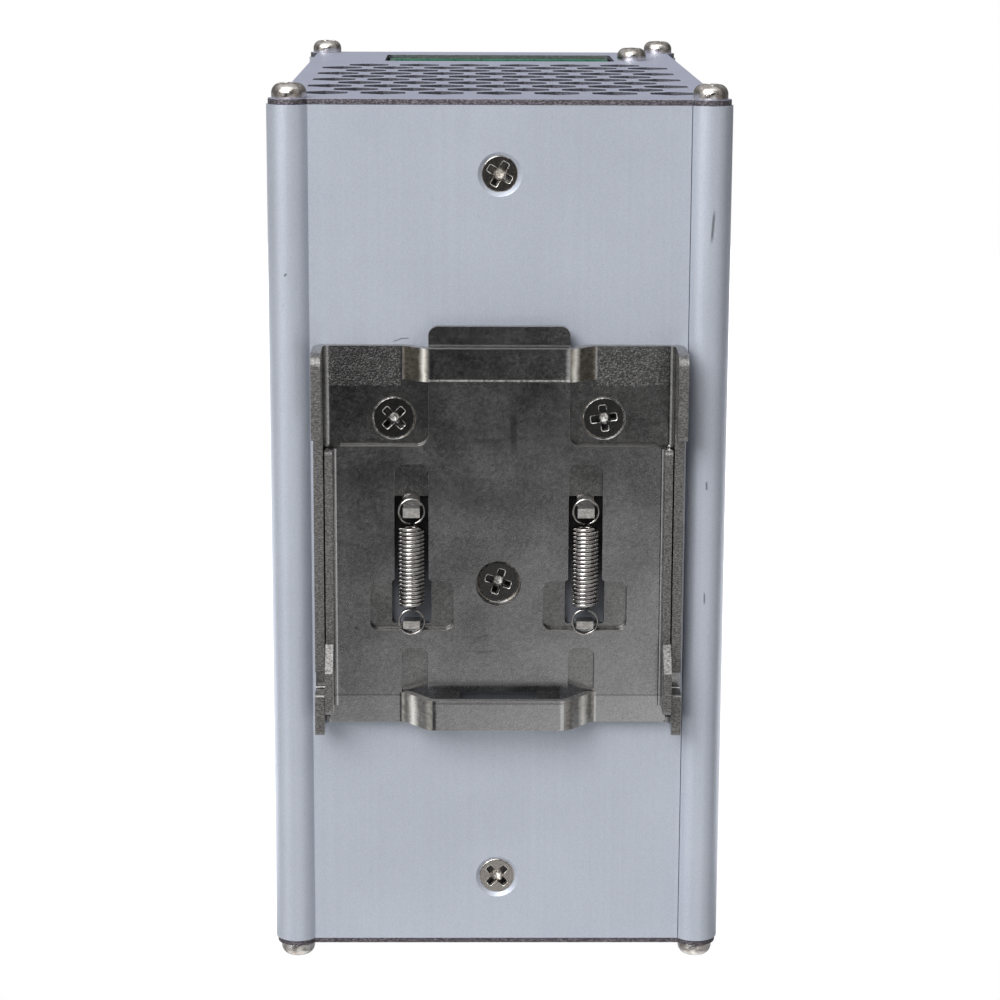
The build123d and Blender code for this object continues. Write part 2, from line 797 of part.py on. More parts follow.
# ---- boards ----
def main_board():
    return [
        block(
            (board_x - board_thickness, board_x),
            (rear_y + wall + board_fit, ledge_back - board_fit),
            (level(board_edge_gap), level(case_height - board_edge_gap)),
        )
    ]


def insulation_sheet():
    clear = post_radius + post_inset
    return [
        block(
            (-inner_x, -inner_x + insulation_thickness), (rear_y + clear, front_y - clear),
            (level(board_edge_gap), level(case_height - board_edge_gap)),
        )
    ]


def on_board(depth_share, height_share):
    """Location on the main board's component face, local +Z pointing away from the board.

    The place is given as shares of the case's depth and height.
    """
    origin = (board_x, inside(depth_share * case_depth), level(height_share * case_height))
    return Location(Plane(origin=origin, x_dir=(0, 1, 0), z_dir=(1, 0, 0)))


def standing_box(length, width, height, corner=0.0):
    """Box that stands on z = 0, with its upright edges rounded."""
    body = Pos(0, 0, height / 2) * Box(length, width, height)
    return fillet(body.edges().filter_by(Axis.Z), corner) if corner else body


def can(radius, height):
    """Electrolytic capacitor on z = 0, with the rolled groove near its foot and a bevelled top."""
    groove = radius / 12
    half = outline(
        (0, 0), (radius, 0), (radius, 2 * groove), (radius - groove, 3 * groove),
        (radius, 4 * groove), (radius, height, groove), (0, height),
    )
    return revolve(Plane.XZ * half, axis=Axis.Z)



def disc(radius, thickness, lift=disc_lift):
    """Disc part on edge over z = 0, on two leads."""
    body = Pos(0, 0, radius + lift) * Rot(0, 90, 0) * Cylinder(radius, thickness)
    body = fillet(body.edges(), thickness / 3)
    for y in (-radius / 2, radius / 2):
        body += Pos(0, y, 0) * rod((0, 0, 0), (0, 0, 1), lead_radius, lift + radius)
    return body


def bulk_capacitors():
    return [on_board(*place) * can(bulk_radius, bulk_height) for place in bulk_places]


def output_capacitors():
    tall = output_can_radius, output_can_height
    return [on_board(*place) * can(*tall) for place in output_can_places]


def film_capacitors():
    return [on_board(*place) * standing_box(*film_size, moulded_corner) for place in film_places]


def disc_capacitors():
    shape = disc_radius, disc_thickness
    return [on_board(*place) * disc(*shape) for place in disc_places]


def varistor():
    return [on_board(*varistor_place) * disc(varistor_radius, varistor_thickness)]


def fuse_axis():
    """Height of the fuse's axis over the board."""
    return fuse_radius + fuse_lift


def input_fuse():
    tube = Rot(0, 90, 0) * Cylinder(fuse_tube_radius, fuse_length)
    for end in (-1, 1):
        cap = Rot(0, 90, 0) * Cylinder(fuse_radius, fuse_cap)
        tube += Pos(end * (fuse_length - fuse_cap) / 2, 0, 0) * cap
    return [on_board(*fuse_place) * Pos(0, 0, fuse_axis()) * tube]


def fuse_clips():
    """Two spring clips, each a foot with two jaws beside the fuse's cap."""
    clips = []
    sheet = fuse_clip_sheet
    inner = fuse_radius + fuse_clip_fit
    for end in (-1, 1):
        clip = Pos(0, 0, sheet / 2) * Box(fuse_cap - 1, 2 * (inner + sheet), sheet)
        for side in (-1, 1):
            jaw = Box(fuse_cap - 1, sheet, fuse_axis() + fuse_radius)
            clip += Pos(0, side * (inner + sheet / 2), (fuse_axis() + fuse_radius) / 2) * jaw
        clips.append(on_board(*fuse_place) * Pos(end * (fuse_length - fuse_cap) / 2, 0, 0) * clip)
    return clips


def inrush_relay():
    return [on_board(*relay_place) * standing_box(*relay_size, moulded_corner)]


def optocouplers():
    return [on_board(*place) * standing_box(*coupler_size) for place in coupler_places]


# ---- wound parts ----
def frame_core(post, depth, window, window_width_each, leg, yoke):
    """Core with a centre post and two windows, standing on z = 0, its depth along X."""
    width = post + 2 * window_width_each + 2 * leg
    height = window + 2 * yoke
    core = Pos(0, 0, height / 2) * Box(depth, width, height)
    opening = Box(depth + 2, window_width_each, window)
    for side in (-1, 1):
        core -= Pos(0, side * (post + window_width_each) / 2, height / 2) * opening
    return core


def frame_bobbin(post, depth, window, window_width_each, yoke, tube):
    """Bobbin round the centre post, with two flanges and a foot rail at each end."""
    inner = (depth + 2 * part_fit, post + 2 * part_fit)
    outer = (inner[0] + 2 * tube, inner[1] + 2 * tube)
    flange = (
        outer[0] + 2 * (window_width_each - tube - 1),
        post + 2 * (window_width_each - part_fit),
    )
    length = window - 2 * part_fit
    body = Box(outer[0], outer[1], length)
    for end in (-1, 1):
        body += Pos(0, 0, end * (length - tube) / 2) * Box(*flange, tube)
    body -= Box(*inner, length + 2)
    body = Pos(0, 0, yoke + window / 2) * body
    rail_depth = (flange[0] - depth) / 2 - part_fit
    for end in (-1, 1):
        rail = Box(rail_depth, flange[1], yoke + part_fit + tube)
        body += Pos(end * (flange[0] - rail_depth) / 2, 0, (yoke + part_fit + tube) / 2) * rail
    return body


def frame_winding(post, depth, window, window_width_each, yoke, tube, build):
    """Wire packed round the bobbin's tube, as a rounded rectangular ring."""
    inner = (depth + 2 * (2 * part_fit + tube), post + 2 * (2 * part_fit + tube))
    length = window - 2 * (tube + 2 * part_fit)
    outer = standing_box(inner[0] + 2 * build, inner[1] + 2 * build, length, build * 0.8)
    ring = outer - Pos(0, 0, length / 2) * Box(*inner, length + 2)
    return Pos(0, 0, yoke + window / 2 - length / 2) * ring


def ring_core(outer, inner, height, lift):
    """Ring core lying parallel to the board, held above it by its winding."""
    ring = Cylinder(outer, height) - Cylinder(inner, height + 2)
    return Pos(0, 0, lift + height / 2) * fillet(ring.edges(), ring_edge)


def ring_winding(outer, inner, height, wire, gap_degrees, count):
    """Wire round a ring core in a few equal arcs, resting on the board."""
    thick = wire + part_fit
    shell = Cylinder(outer + thick, height + 2 * thick) - Cylinder(inner - thick, height + 9)
    shell -= Cylinder(outer + part_fit, height + 2 * part_fit) - Cylinder(
        inner - part_fit, height + 9
    )
    arcs = []
    span = 2 * pi / count
    for i in range(count):
        start, end = i * span + radians(gap_degrees) / 2, (i + 1) * span - radians(gap_degrees) / 2
        far = 3 * outer
        turns = [start + (end - start) * k / 8 for k in range(9)]
        points = [(far * cos(turn), far * sin(turn)) for turn in turns]
        wedge = extrude(outline((0, 0), *points), amount=height + 9, both=True)
        arcs.append(Pos(0, 0, height / 2 + thick) * (shell & wedge))
    return arcs



def transformer_core():
    shape = transformer_window, transformer_window_width
    core = frame_core(transformer_post, transformer_depth, *shape, transformer_leg, transformer_yoke)
    return [on_board(*transformer_place) * core]


def transformer_bobbin():
    shape = transformer_window, transformer_window_width, transformer_yoke, transformer_tube
    return [on_board(*transformer_place) * frame_bobbin(transformer_post, transformer_depth, *shape)]


def transformer_winding():
    shape = transformer_window, transformer_window_width, transformer_yoke, transformer_tube
    ring = frame_winding(transformer_post, transformer_depth, *shape, transformer_build)
    return [on_board(*transformer_place) * ring]


def boost_choke_core():
    shape = boost_window, boost_window_width, boost_leg, boost_yoke
    return [on_board(*boost_place) * frame_core(boost_post, boost_depth, *shape)]


def boost_choke_bobbin():
    shape = boost_window, boost_window_width, boost_yoke, boost_tube
    return [on_board(*boost_place) * frame_bobbin(boost_post, boost_depth, *shape)]


def boost_choke_winding():
    shape = boost_window, boost_window_width, boost_yoke, boost_tube
    ring = frame_winding(boost_post, boost_depth, *shape, boost_build)
    return [on_board(*boost_place) * ring]


def filter_choke_core():
    ring = ring_core(filter_outer, filter_inner, filter_height, filter_wire + part_fit)
    return [on_board(*filter_place) * ring]


def filter_choke_winding():
    shape = filter_outer, filter_inner, filter_height, filter_wire
    place = on_board(*filter_place)
    return [place * arc for arc in ring_winding(*shape, ring_gap_degrees, 2)]


def output_choke_core():
    shape = output_choke_outer, output_choke_inner, output_choke_height
    return [on_board(*output_choke_place) * ring_core(*shape, output_choke_wire + part_fit)]


def output_choke_winding():
    shape = output_choke_outer, output_choke_inner, output_choke_height, output_choke_wire
    place = on_board(*output_choke_place)
    return [place * arc for arc in ring_winding(*shape, ring_gap_degrees, 1)]


# ---- control board, upright on the main board ----

def control_board():
    y = inside(control_depth)
    return [
        block(
            (board_x, board_x + control_reach), (y, y + control_thickness),
            (level(control_low), level(control_high)),
        )
    ]


def control_chips():
    chips = []
    length, width, height = chip_size
    y = inside(control_depth)
    for reach_share, height_share in chip_places:
        x = board_x + reach_share * control_reach
        z = level(control_low + height_share * (control_high - control_low))
        chip = block(
            (x - width / 2, x + width / 2), (y - height, y), (z - length / 2, z + length / 2)
        )
        chips.append(chip)
    return chips


# ---- connectors at both ends ----
def header_face_height(top):
    """Height of the connector's open face, at the top or the bottom end."""
    reach = cover_thickness - header_sink
    return case_top + reach if top else case_bottom - reach


def end_place(top):
    """Location of a connector's open face; its local +Z points out of the case."""
    turn = Rot(0, 0, 0) if top else Rot(0, 180, 0)
    return Pos(header_x, inside(header_front() - header_width / 2), header_face_height(top)) * turn


def pin_row(poles, pitch):
    return [(i - (poles - 1) / 2) * pitch for i in range(poles)]


def header(poles, pitch, top):
    """Pluggable header: a shroud with one deep cavity, polarising slots and a pin row."""
    length = header_length(poles, pitch)
    cavity_depth = header_height - header_floor
    pin_y = pin_offset + header_wall - header_width / 2
    body = Pos(0, 0, -header_height / 2) * Box(length, header_width, header_height)
    cavity = Box(length - 2 * header_wall, header_width - 2 * header_wall, cavity_depth + 1)
    body -= Pos(0, 0, 0.5 - cavity_depth / 2) * cavity
    slot = Box(pitch * 0.35, header_wall * 0.6, cavity_depth + 1)
    hole = Box(pin_size + part_fit, pin_size + part_fit, 3 * header_floor)
    for x in pin_row(poles, pitch):
        inner_wall = header_width / 2 - header_wall
        body -= Pos(x, inner_wall + header_wall * 0.25, 0.5 - cavity_depth / 2) * slot
        body -= Pos(x, pin_y, -header_height) * hole
    return [end_place(top) * body]


def header_pins(poles, pitch, top):
    pin_y = pin_offset + header_wall - header_width / 2
    length = header_height - pin_recess
    pin = chamfer(Box(pin_size, pin_size, length).edges().group_by(Axis.Z)[-1], 0.25)
    place = end_place(top)
    return [
        place * Pos(x, pin_y, -pin_recess - length / 2) * pin for x in pin_row(poles, pitch)
    ]


def terminal_board(top):
    """Board under a connector, from the main board to the bracket on the right."""
    face = header_face_height(top) + (-header_height if top else header_height)
    z = (face - board_thickness, face) if top else (face, face + board_thickness)
    front = inside(terminal_board_front)
    return [block((board_x, terminal_board_right), (front - terminal_board_depth, front), z)]


def terminal_bracket(top):
    """Sheet bracket from the cover's inner face to the connector's board, with a tapped flange."""
    cover_face = case_top if top else case_bottom
    away = -1 if top else 1
    board_face = header_face_height(top) + away * header_height
    y = (terminal_screw_y - bracket_flange / 2, terminal_screw_y + bracket_flange / 2)
    left, right = terminal_screw_x - bracket_flange / 2 + 1, terminal_board_right

    def between(x, start, end):
        return block(x, y, (min(start, end), max(start, end)))

    sheet = bracket_leg_sheet
    body = between((left, right), cover_face, cover_face + away * sheet)
    body += between((right - sheet, right), cover_face, board_face)
    body += between((left, right), board_face - away * sheet, board_face)
    hole = Pos(terminal_screw_x, terminal_screw_y, cover_face) * Cylinder(hole_radius, 5)
    return body - hole


# ---- front panel parts ----
front_inner_y = front_y - wall
front_board_face = front_inner_y - front_board_gap
panel_z = level(panel_part_level)


def front_board():
    return [
        block(
            (board_x, front_board_right), (front_board_face - board_thickness, front_board_face),
            (level(front_board_bottom), level(front_board_bottom + front_board_height)),
        )
    ]


def status_led():
    body = rod((led_x, front_board_face, panel_z), (0, 1, 0), led_radius, led_height)
    return [fillet(body.faces().sort_by(Axis.Y)[-1].edges(), led_radius * 0.8)]


def light_pipe():
    start = front_board_face + led_height + pipe_gap
    length = front_y + pipe_proud - start
    pipe = rod((led_x, start, panel_z), (0, 1, 0), led_radius, length)
    pipe = fillet(pipe.faces().sort_by(Axis.Y)[-1].edges(), pipe_proud * 0.9)
    collar_y = front_inner_y - pipe_collar_thickness
    collar = rod(
        (led_x, collar_y, panel_z), (0, 1, 0), led_radius + pipe_collar, pipe_collar_thickness
    )
    return [pipe + collar]


def trimmer_body():
    half = trimmer_size / 2
    body = block(
        (trimmer_x - half, trimmer_x + half),
        (front_board_face, front_board_face + trimmer_body_depth),
        (panel_z - half, panel_z + half),
    )
    bore_start = front_board_face + trimmer_body_depth - trimmer_engagement
    radius = trimmer_shaft_radius + trimmer_fit
    return [body - rod((trimmer_x, bore_start, panel_z), (0, 1, 0), radius, 2 * trimmer_body_depth)]


def trimmer_rotor():
    """Round shaft with a screwdriver slot, turned from the front through the wall's hole."""
    start = front_board_face + trimmer_body_depth - trimmer_engagement + part_fit
    end = front_y - trimmer_sink
    shaft = rod((trimmer_x, start, panel_z), (0, 1, 0), trimmer_shaft_radius, end - start)
    half = trimmer_slot / 2
    slot = block(
        (trimmer_x - half, trimmer_x + half), (end - trimmer_slot_depth, end + 1),
        (panel_z - 2 * trimmer_shaft_radius, panel_z + 2 * trimmer_shaft_radius),
    )
    return [shaft - slot]


# ---- fasteners in place ----
def cover_screws(top, places):
    face = case_top + cover_thickness if top else case_bottom - cover_thickness
    turn = Rot(0, 0, 0) if top else Rot(180, 0, 0)
    return [
        Pos(x, y, face) * Rot(0, 0, 35 * i) * turn * pan_screw(cover_screw_length)
        for i, (x, y) in enumerate(places)
    ]


def bracket_screws():
    turns = (45, 10, 15)
    return [
        facing_rear(x, bracket_sheet - screw_sink, z, turn)
        * flat_screw(clip_head_diameter, clip_screw_length)
        for (x, z), turn in zip(bracket_screw_places, turns)
    ]


def spreader_screws():
    turns = (45, 27)
    return [
        facing_rear(x, -spreader_sink, z, turn) * flat_screw(wall_head_diameter, spreader_screw_length)
        for (x, z), turn in zip(spreader_screw_places, turns)
    ]


bottom_cover_place = Pos(0, 0, case_bottom) * Pos(0, 0, -cover_thickness)
terminal_places = [(terminal_screw_x, terminal_screw_y)]
output_shape = output_poles, output_pitch
input_shape = input_poles, input_pitch

nodes = {
    "housing_profile_rear": [housing_profile_rear()],
    "housing_profile_front": [housing_profile_front()],
    "top_cover": [Pos(0, 0, case_top) * cover(*output_shape)],
    "bottom_cover": [bottom_cover_place * cover(*input_shape)],
    "top_cover_screws": cover_screws(True, corner_posts),
    "bottom_cover_screws": cover_screws(False, corner_posts),
    "terminal_bracket_screws": [
        *cover_screws(True, terminal_places), *cover_screws(False, terminal_places)
    ],
    "terminal_brackets": [terminal_bracket(True), terminal_bracket(False)],
    "rail_bracket": [rail_bracket()],
    "bracket_screws": bracket_screws(),
    "rail_latch": [rail_latch()],
    "latch_spring_left": [latch_spring(-1)],
    "latch_spring_right": [latch_spring(1)],
    "heat_spreader": [heat_spreader()],
    "spreader_screws": spreader_screws(),
    "thermal_pads": thermal_pads(),
    "power_transistors": power_transistors(),
    "bridge_rectifier": bridge_rectifier(),
    "device_clamps": device_clamps(),
    "clamp_screws": clamp_screws(),
    "main_board": main_board(),
    "insulation_sheet": insulation_sheet(),
    "transformer_core": transformer_core(),
    "transformer_bobbin": transformer_bobbin(),
    "transformer_winding": transformer_winding(),
    "boost_choke_core": boost_choke_core(),
    "boost_choke_bobbin": boost_choke_bobbin(),
    "boost_choke_winding": boost_choke_winding(),
    "filter_choke_core": filter_choke_core(),
    "filter_choke_winding": filter_choke_winding(),
    "output_choke_core": output_choke_core(),
    "output_choke_winding": output_choke_winding(),
    "bulk_capacitors": bulk_capacitors(),
    "output_capacitors": output_capacitors(),
    "film_capacitors": film_capacitors(),
    "disc_capacitors": disc_capacitors(),
    "varistor": varistor(),
    "input_fuse": input_fuse(),
    "fuse_clips": fuse_clips(),
    "inrush_relay": inrush_relay(),
    "optocouplers": optocouplers(),
    "control_board": control_board(),
    "control_chips": control_chips(),
    "output_board": terminal_board(True),
    "output_header": header(*output_shape, True),
    "output_pins": header_pins(*output_shape, True),
    "input_board": terminal_board(False),
    "input_header": header(*input_shape, False),
    "input_pins": header_pins(*input_shape, False),
    "front_board": front_board(),
    "status_led": status_led(),
    "light_pipe": light_pipe(),
    "trimmer_body": trimmer_body(),
    "trimmer_rotor": trimmer_rotor(),
}

os.makedirs("parts", exist_ok=True)
for name, pieces in nodes.items():
    solids = [solid for piece in pieces for solid in piece.solids()]
    export_step(Compound(children=solids), os.path.join("parts", name + ".step"))
    print(f"{name}: {len(solids)} solids, {sum(s.volume for s in solids):.0f} mm3")
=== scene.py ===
from math import cos, pi, radians, sin

import bmesh
import bpy
import numpy as np
from mathutils import Matrix, Vector


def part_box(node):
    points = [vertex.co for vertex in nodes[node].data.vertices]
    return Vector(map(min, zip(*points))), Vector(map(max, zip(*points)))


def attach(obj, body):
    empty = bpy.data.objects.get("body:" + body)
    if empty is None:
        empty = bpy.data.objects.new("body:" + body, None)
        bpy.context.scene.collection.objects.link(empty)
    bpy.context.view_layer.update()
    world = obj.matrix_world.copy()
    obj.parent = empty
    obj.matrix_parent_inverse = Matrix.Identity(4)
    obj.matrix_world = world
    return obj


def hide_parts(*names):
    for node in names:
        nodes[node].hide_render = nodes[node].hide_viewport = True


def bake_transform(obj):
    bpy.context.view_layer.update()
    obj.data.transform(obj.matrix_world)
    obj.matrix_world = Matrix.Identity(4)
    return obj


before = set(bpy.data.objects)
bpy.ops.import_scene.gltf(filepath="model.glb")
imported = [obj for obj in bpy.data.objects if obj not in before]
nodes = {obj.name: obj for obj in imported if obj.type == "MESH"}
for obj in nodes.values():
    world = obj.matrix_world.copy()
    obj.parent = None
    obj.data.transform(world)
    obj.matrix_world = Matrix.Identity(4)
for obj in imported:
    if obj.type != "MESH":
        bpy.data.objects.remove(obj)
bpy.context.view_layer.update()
MM = 0.001

# %% [markdown]
# ## Landmarks
# A piece goes where the measured model says. These few places are read from the boxes of the
# model's own pieces, so that the patterns below land on the right spots: the wall that faces
# the rail, the middle height of the rail, and the face of the main board.
# %% Read the landmarks
BRACKET_TOP = 29.8  # upper edge of the bracket above the middle of the rail

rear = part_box("rail_bracket")[1].y
case_low, case_high = (corner.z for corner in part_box("housing_profile_rear"))
rail_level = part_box("rail_bracket")[1].z - BRACKET_TOP * MM
rail = rail_level / MM
board_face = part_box("main_board")[1].x
print(f"rear wall at y = {rear / MM:.2f} mm, rail at z = {rail_level / MM:.2f} mm")

# %% [markdown]
# ## Sums in a shader
# Wear, grain and dirt are small sums over the surface. A node editor draws such a sum as a
# chain of Math nodes, which is slow to read. Here a number in a node tree is wrapped in a
# small class whose + and * add the Math nodes, so a mask can be written as a line of Python.
# %% A number that varies over a surface
class Value:
    """The output of a node. Arithmetic on it adds Math nodes and gives a new Value."""

    def __init__(self, finish, socket):
        self.finish = finish
        self.socket = socket

    def maths(self, operation, first, second):
        return self.finish.node("ShaderNodeMath", {"operation": operation}, {0: first, 1: second})

    def __add__(self, other):
        return self.maths("ADD", self, other)

    def __sub__(self, other):
        return self.maths("SUBTRACT", self, other)

    def __rsub__(self, other):
        return self.maths("SUBTRACT", other, self)

    def __mul__(self, other):
        return self.maths("MULTIPLY", self, other)

    __radd__ = __add__
    __rmul__ = __mul__

# %% [markdown]
# ## One class for a finish
# Every material is a Principled shader with a few patterns in front of it. The class below
# holds the ones this object needs: a place on the object in millimetres, two patterns of a
# given size, a soft step between two values, a short mark, a blend of two colours, and a bump.
# What is the same all over a surface is set straight on the shader.
# %% The finish class
class Nodes:
    """A node tree being made. Sizes are in millimetres on the object."""

    def __init__(self, tree):
        self.tree = tree

    def node(self, kind, settings, sockets, output=0):
        """Adds a node: settings first, then the values or links of its sockets."""
        new = self.tree.nodes.new(kind)
        for key, value in settings.items():
            setattr(new, key, value)
        for key, value in sockets.items():
            if isinstance(value, Value):
                self.tree.links.new(value.socket, new.inputs[key])
            else:
                new.inputs[key].default_value = value
        return Value(self, new.outputs[output])

    def place(self, stretch=(1, 1, 1), turn=(0, 0, 0)):
        """Place on the object in millimetres. A stretch of 5 makes a pattern 5 times longer."""
        here = self.node("ShaderNodeTexCoord", {}, {}, "Object")
        scale = tuple(1 / MM / s for s in stretch)
        links = {"Vector": here, "Rotation": turn, "Scale": scale}
        return self.node("ShaderNodeMapping", {}, links)

    def along(self, axis):
        """One coordinate of the place, in millimetres: 0, 1 or 2 for X, Y or Z."""
        return self.node("ShaderNodeSeparateXYZ", {}, {0: self.place()}, axis)

    def noise(self, size, detail=2.0, stretch=(1, 1, 1), rough=0.5, seed=0.0):
        """Smooth random hills of a given size, around 0.5."""
        sockets = {"Vector": self.place(stretch), "Scale": 1 / size, "Detail": detail}
        sockets |= {"Roughness": rough, "W": seed}
        return self.node("ShaderNodeTexNoise", {"noise_dimensions": "4D"}, sockets)

    def cells(self, size, stretch=(1, 1, 1), turn=(0, 0, 0), feature="F1"):
        """Distance to the nearest of many scattered points, in cells."""
        sockets = {"Vector": self.place(stretch, turn), "Scale": 1 / size}
        return self.node("ShaderNodeTexVoronoi", {"feature": feature}, sockets)

    def step(self, value, low, high):
        """Rises smoothly from 0 at low to 1 at high, or falls if low is the larger."""
        sockets = {"Value": value, "From Min": low, "From Max": high}
        return self.node("ShaderNodeMapRange", {"interpolation_type": "SMOOTHSTEP"}, sockets)

    def inside(self, value, low, high, soft):
        """1 where the value is between low and high, with soft edges."""
        return self.step(value, low - soft, low + soft) * self.step(value, high + soft, high - soft)

    def size(self, value):
        """The value without its sign."""
        return self.node("ShaderNodeMath", {"operation": "ABSOLUTE"}, {0: value})

    def stroke(self, across, up, angle, length, width, strength=1.0):
        """Short straight mark round a place of X and Z, fading at its ends and sides."""
        x, z = self.along(0) - across, self.along(2) - up
        lengthwise = self.size(x * cos(angle) + z * sin(angle))
        sideways = self.size(z * cos(angle) - x * sin(angle))
        mark = self.step(lengthwise, length / 2, length / 5)
        mark = mark * self.step(sideways, width / 2, width / 8)
        return mark * strength

    def blend(self, amount, first, second):
        """Mixes two colours."""
        first, second = ((*c, 1) if isinstance(c, tuple) else c for c in (first, second))
        links = {0: amount, 6: first, 7: second}
        return self.node("ShaderNodeMix", {"data_type": "RGBA"}, links, 2)


class Finish(Nodes):
    """A material being made round one Principled shader."""

    def __init__(self, name, colour, **fixed):
        self.material = bpy.data.materials.new(name)
        self.material.use_nodes = True
        super().__init__(self.material.node_tree)
        self.shader = self.tree.nodes["Principled BSDF"]
        self.shader.inputs["Base Color"].default_value = (*colour, 1)
        for socket, value in fixed.items():
            self.shader.inputs[socket.replace("_", " ").title()].default_value = value

    def feed(self, socket, value):
        """Links a Value to one of the shader's inputs."""
        self.tree.links.new(value.socket, self.shader.inputs[socket])
        return self

    def bump(self, height, depth):
        """Raises the surface by height times depth, in millimetres, in shading only."""
        sockets = {"Height": height, "Distance": depth * MM, "Strength": 1.0}
        return self.feed("Normal", self.node("ShaderNodeBump", {}, sockets))


print("Value and Finish are ready")

# %% [markdown]
# ## Satin anodised aluminium
# The walls are extruded, etched and anodised. Etching leaves a fine grain that scatters
# light, and anodising gives it a cool cast. Dies leave very faint lines along the length.
# A half metallic shader with fine bump shows all three, and a few thin scuffs from handling.
# %% Anodised finish
def anodised(name, colour, shade, metallic, rough, marks=(), painted_shade=None):
    """Satin metal between colour and shade, with marks near the rear wall and, where given, a mask
    of painted shade that turns it near black.
    """
    finish = Finish(name, colour, Metallic=metallic)
    grain = finish.noise(0.2, 2)
    cloud = finish.noise(16, 3)
    lines = finish.noise(0.6, 2, (1, 1, 160))
    fleck = finish.step(finish.noise(0.6, 1, seed=5.0), 0.74, 0.82)
    tone = grain * 0.62 + cloud * 0.25 + lines * 0.13
    clean = finish.blend(finish.step(tone, 0.3, 0.7), shade, colour)
    at_rear = finish.step(finish.along(1), rear / MM + 9, rear / MM + 7)
    scuff = sum((finish.stroke(*mark) * at_rear for mark in marks), fleck * 0.22)
    used = finish.blend(scuff * 0.75, clean, (0.10, 0.10, 0.115))
    # Where a mask is given, the wall goes near black: painted shade.
    if painted_shade:
        used = finish.blend(painted_shade(finish), used, (0.012, 0.012, 0.013))
    finish.feed("Base Color", used)
    finish.feed("Roughness", grain * 0.16 + (rough - 0.08))
    finish.bump(grain * 0.85 + lines * 0.15, 0.02)
    return finish.material


def painted_shade_behind_clip(finish):
    """Painted shade on the wall behind the clip's openings: behind each spring, deeper towards the
    top, and behind the pull loop.
    """
    across, deep, up = (finish.along(axis) for axis in range(3))
    sides = finish.inside(across, -20, -8, 1) + finish.inside(across, 8, 20, 1)
    # The painted shade is deeper towards the top of each opening.
    shade_towards_top = finish.step(up, rail - 19, rail + 2) * 0.36 + 0.64
    springs = sides * finish.inside(up, rail - 19, rail + 8, 1) * shade_towards_top
    # Painted shade behind the pull loop as well.
    loop = finish.inside(across, -13, 13, 1) * finish.inside(up, rail - 30, rail - 20, 0.5)
    return (springs + loop * 0.86) * finish.inside(deep, rear / MM - 1, rear / MM + 1.2, 0.3)


# Each mark: place across and up, angle, length, width, strength.
wall_marks = [
    (-15.8, rail + 30.4, 0.3, 1.7, 0.24), (-14.7, rail + 30.7, 0.05, 1.9, 0.26),
    (32.7, rail + 48.3, 1.5, 6.0, 0.6), (32.5, rail + 7.7, 1.6, 1.8, 0.45),
    (32.5, rail - 10.4, 1.6, 2.4, 0.4), (-32.9, rail + 40.7, 0.8, 0.8, 0.5),
]
case_metal = anodised("case_anodised", (0.60, 0.64, 0.72), (0.49, 0.525, 0.605), 0.55, 0.42,
                      wall_marks, painted_shade_behind_clip)
cover_metal = anodised("cover_anodised", (0.53, 0.56, 0.70), (0.42, 0.445, 0.575), 0.45, 0.42)
print("finishes:", case_metal.name, cover_metal.name)

# %% [markdown]
# ## Sheared edges
# The cover is punched from sheet that was already anodised, so its edges are bare metal: a
# smooth sheared band and a torn one, darker than the face. Coarse flecks along the sheet
# and a rough bump say "cut edge" at once, even on a strip one millimetre high. The vents'
# walls and the cut-out's sides are darker still: painted shade, tinted green in the cut-out.
# The clip's punched edges, its bevelled corners and its tabs' ends take the same recipe in
# lighter metal, and on the corners it is near white, a painted highlight.
# %% Sheared edge finish
def sheared(name, dark, light, grain, metallic=0.8, rough=0.35, low=0.42, high=0.68):
    """Torn metal. Its light flecks, of the grain's size, begin at low and are full at high."""
    finish = Finish(name, dark, Metallic=metallic)
    tear = finish.noise(grain, 3, (1.6, 1.6, 0.8), 0.6)
    fleck = finish.step(tear, low, high)
    finish.feed("Base Color", finish.blend(fleck, dark, light))
    finish.feed("Roughness", tear * 0.3 + rough)
    finish.bump(tear, grain * 0.3)
    return finish.material


cover_edge = sheared("cover_cut_edge", (0.075, 0.066, 0.076), (0.30, 0.28, 0.31), 0.22)
# The vents' walls: painted shade, near black.
vent_wall_shade = sheared("cover_vent_wall_shade", (0.055, 0.055, 0.07), (0.15, 0.15, 0.18), 0.25, 0.3, 0.5)
clip_rim = sheared("clip_punched_edge", (0.12, 0.116, 0.112), (0.34, 0.335, 0.33), 0.22,
                   0.95, 0.26, 0.36, 0.7)
# Near white on the clip's bevelled corners: a painted highlight.
clip_edge_highlight = sheared("clip_edge_highlight_metal", (0.66, 0.65, 0.63), (0.98, 0.97, 0.95),
                    0.5, 0.5, 0.36, 0.35, 0.55)
tab_end = sheared("spring_tab_end", (0.27, 0.258, 0.242), (0.44, 0.425, 0.41), 0.3, 0.45, 0.35)
# The connector cut-out's sides: painted shade, tinted green.
cutout_wall_shade = sheared("cover_cutout_shade", (0.07, 0.085, 0.08), (0.15, 0.165, 0.155), 0.25, 0.4)
print("six edge finishes, from", cover_edge.name, "to", cutout_wall_shade.name)

# %% [markdown]
# ## Nickel over rolled steel
# The clip is stamped from steel sheet and plated with thin nickel. The plating keeps the
# mottle of the rolled sheet: cloudy patches, fine pits, and light rubs in every direction.
# Where the maker coined the sheet flat beside the bridge, the surface is much coarser, so
# the coined areas are a mask worked out from the place on the piece.
# A lip along the bridge's lower edge and a band on each bend carry a painted highlight, and a faint
# fold across the latch is a line of painted shade with a painted sheen below it.
# %% Nickel plate finish
# Heights are above the middle of the rail.
COINED_ACROSS, COINED_UP = (15.2, 26.4), (23.5, 30.2)  # the two areas beside the bridge
LIP = (24.72, 25.02)  # painted highlight on a lip along the bridge's lower edge
LIP_HALF = 11.3  # half the lip's length
# The fold is drawn in colour only: a line of painted shade, with a painted sheen on the strip below
# it.
FOLD = -25.85  # faint fold across the latch, above the rail's middle


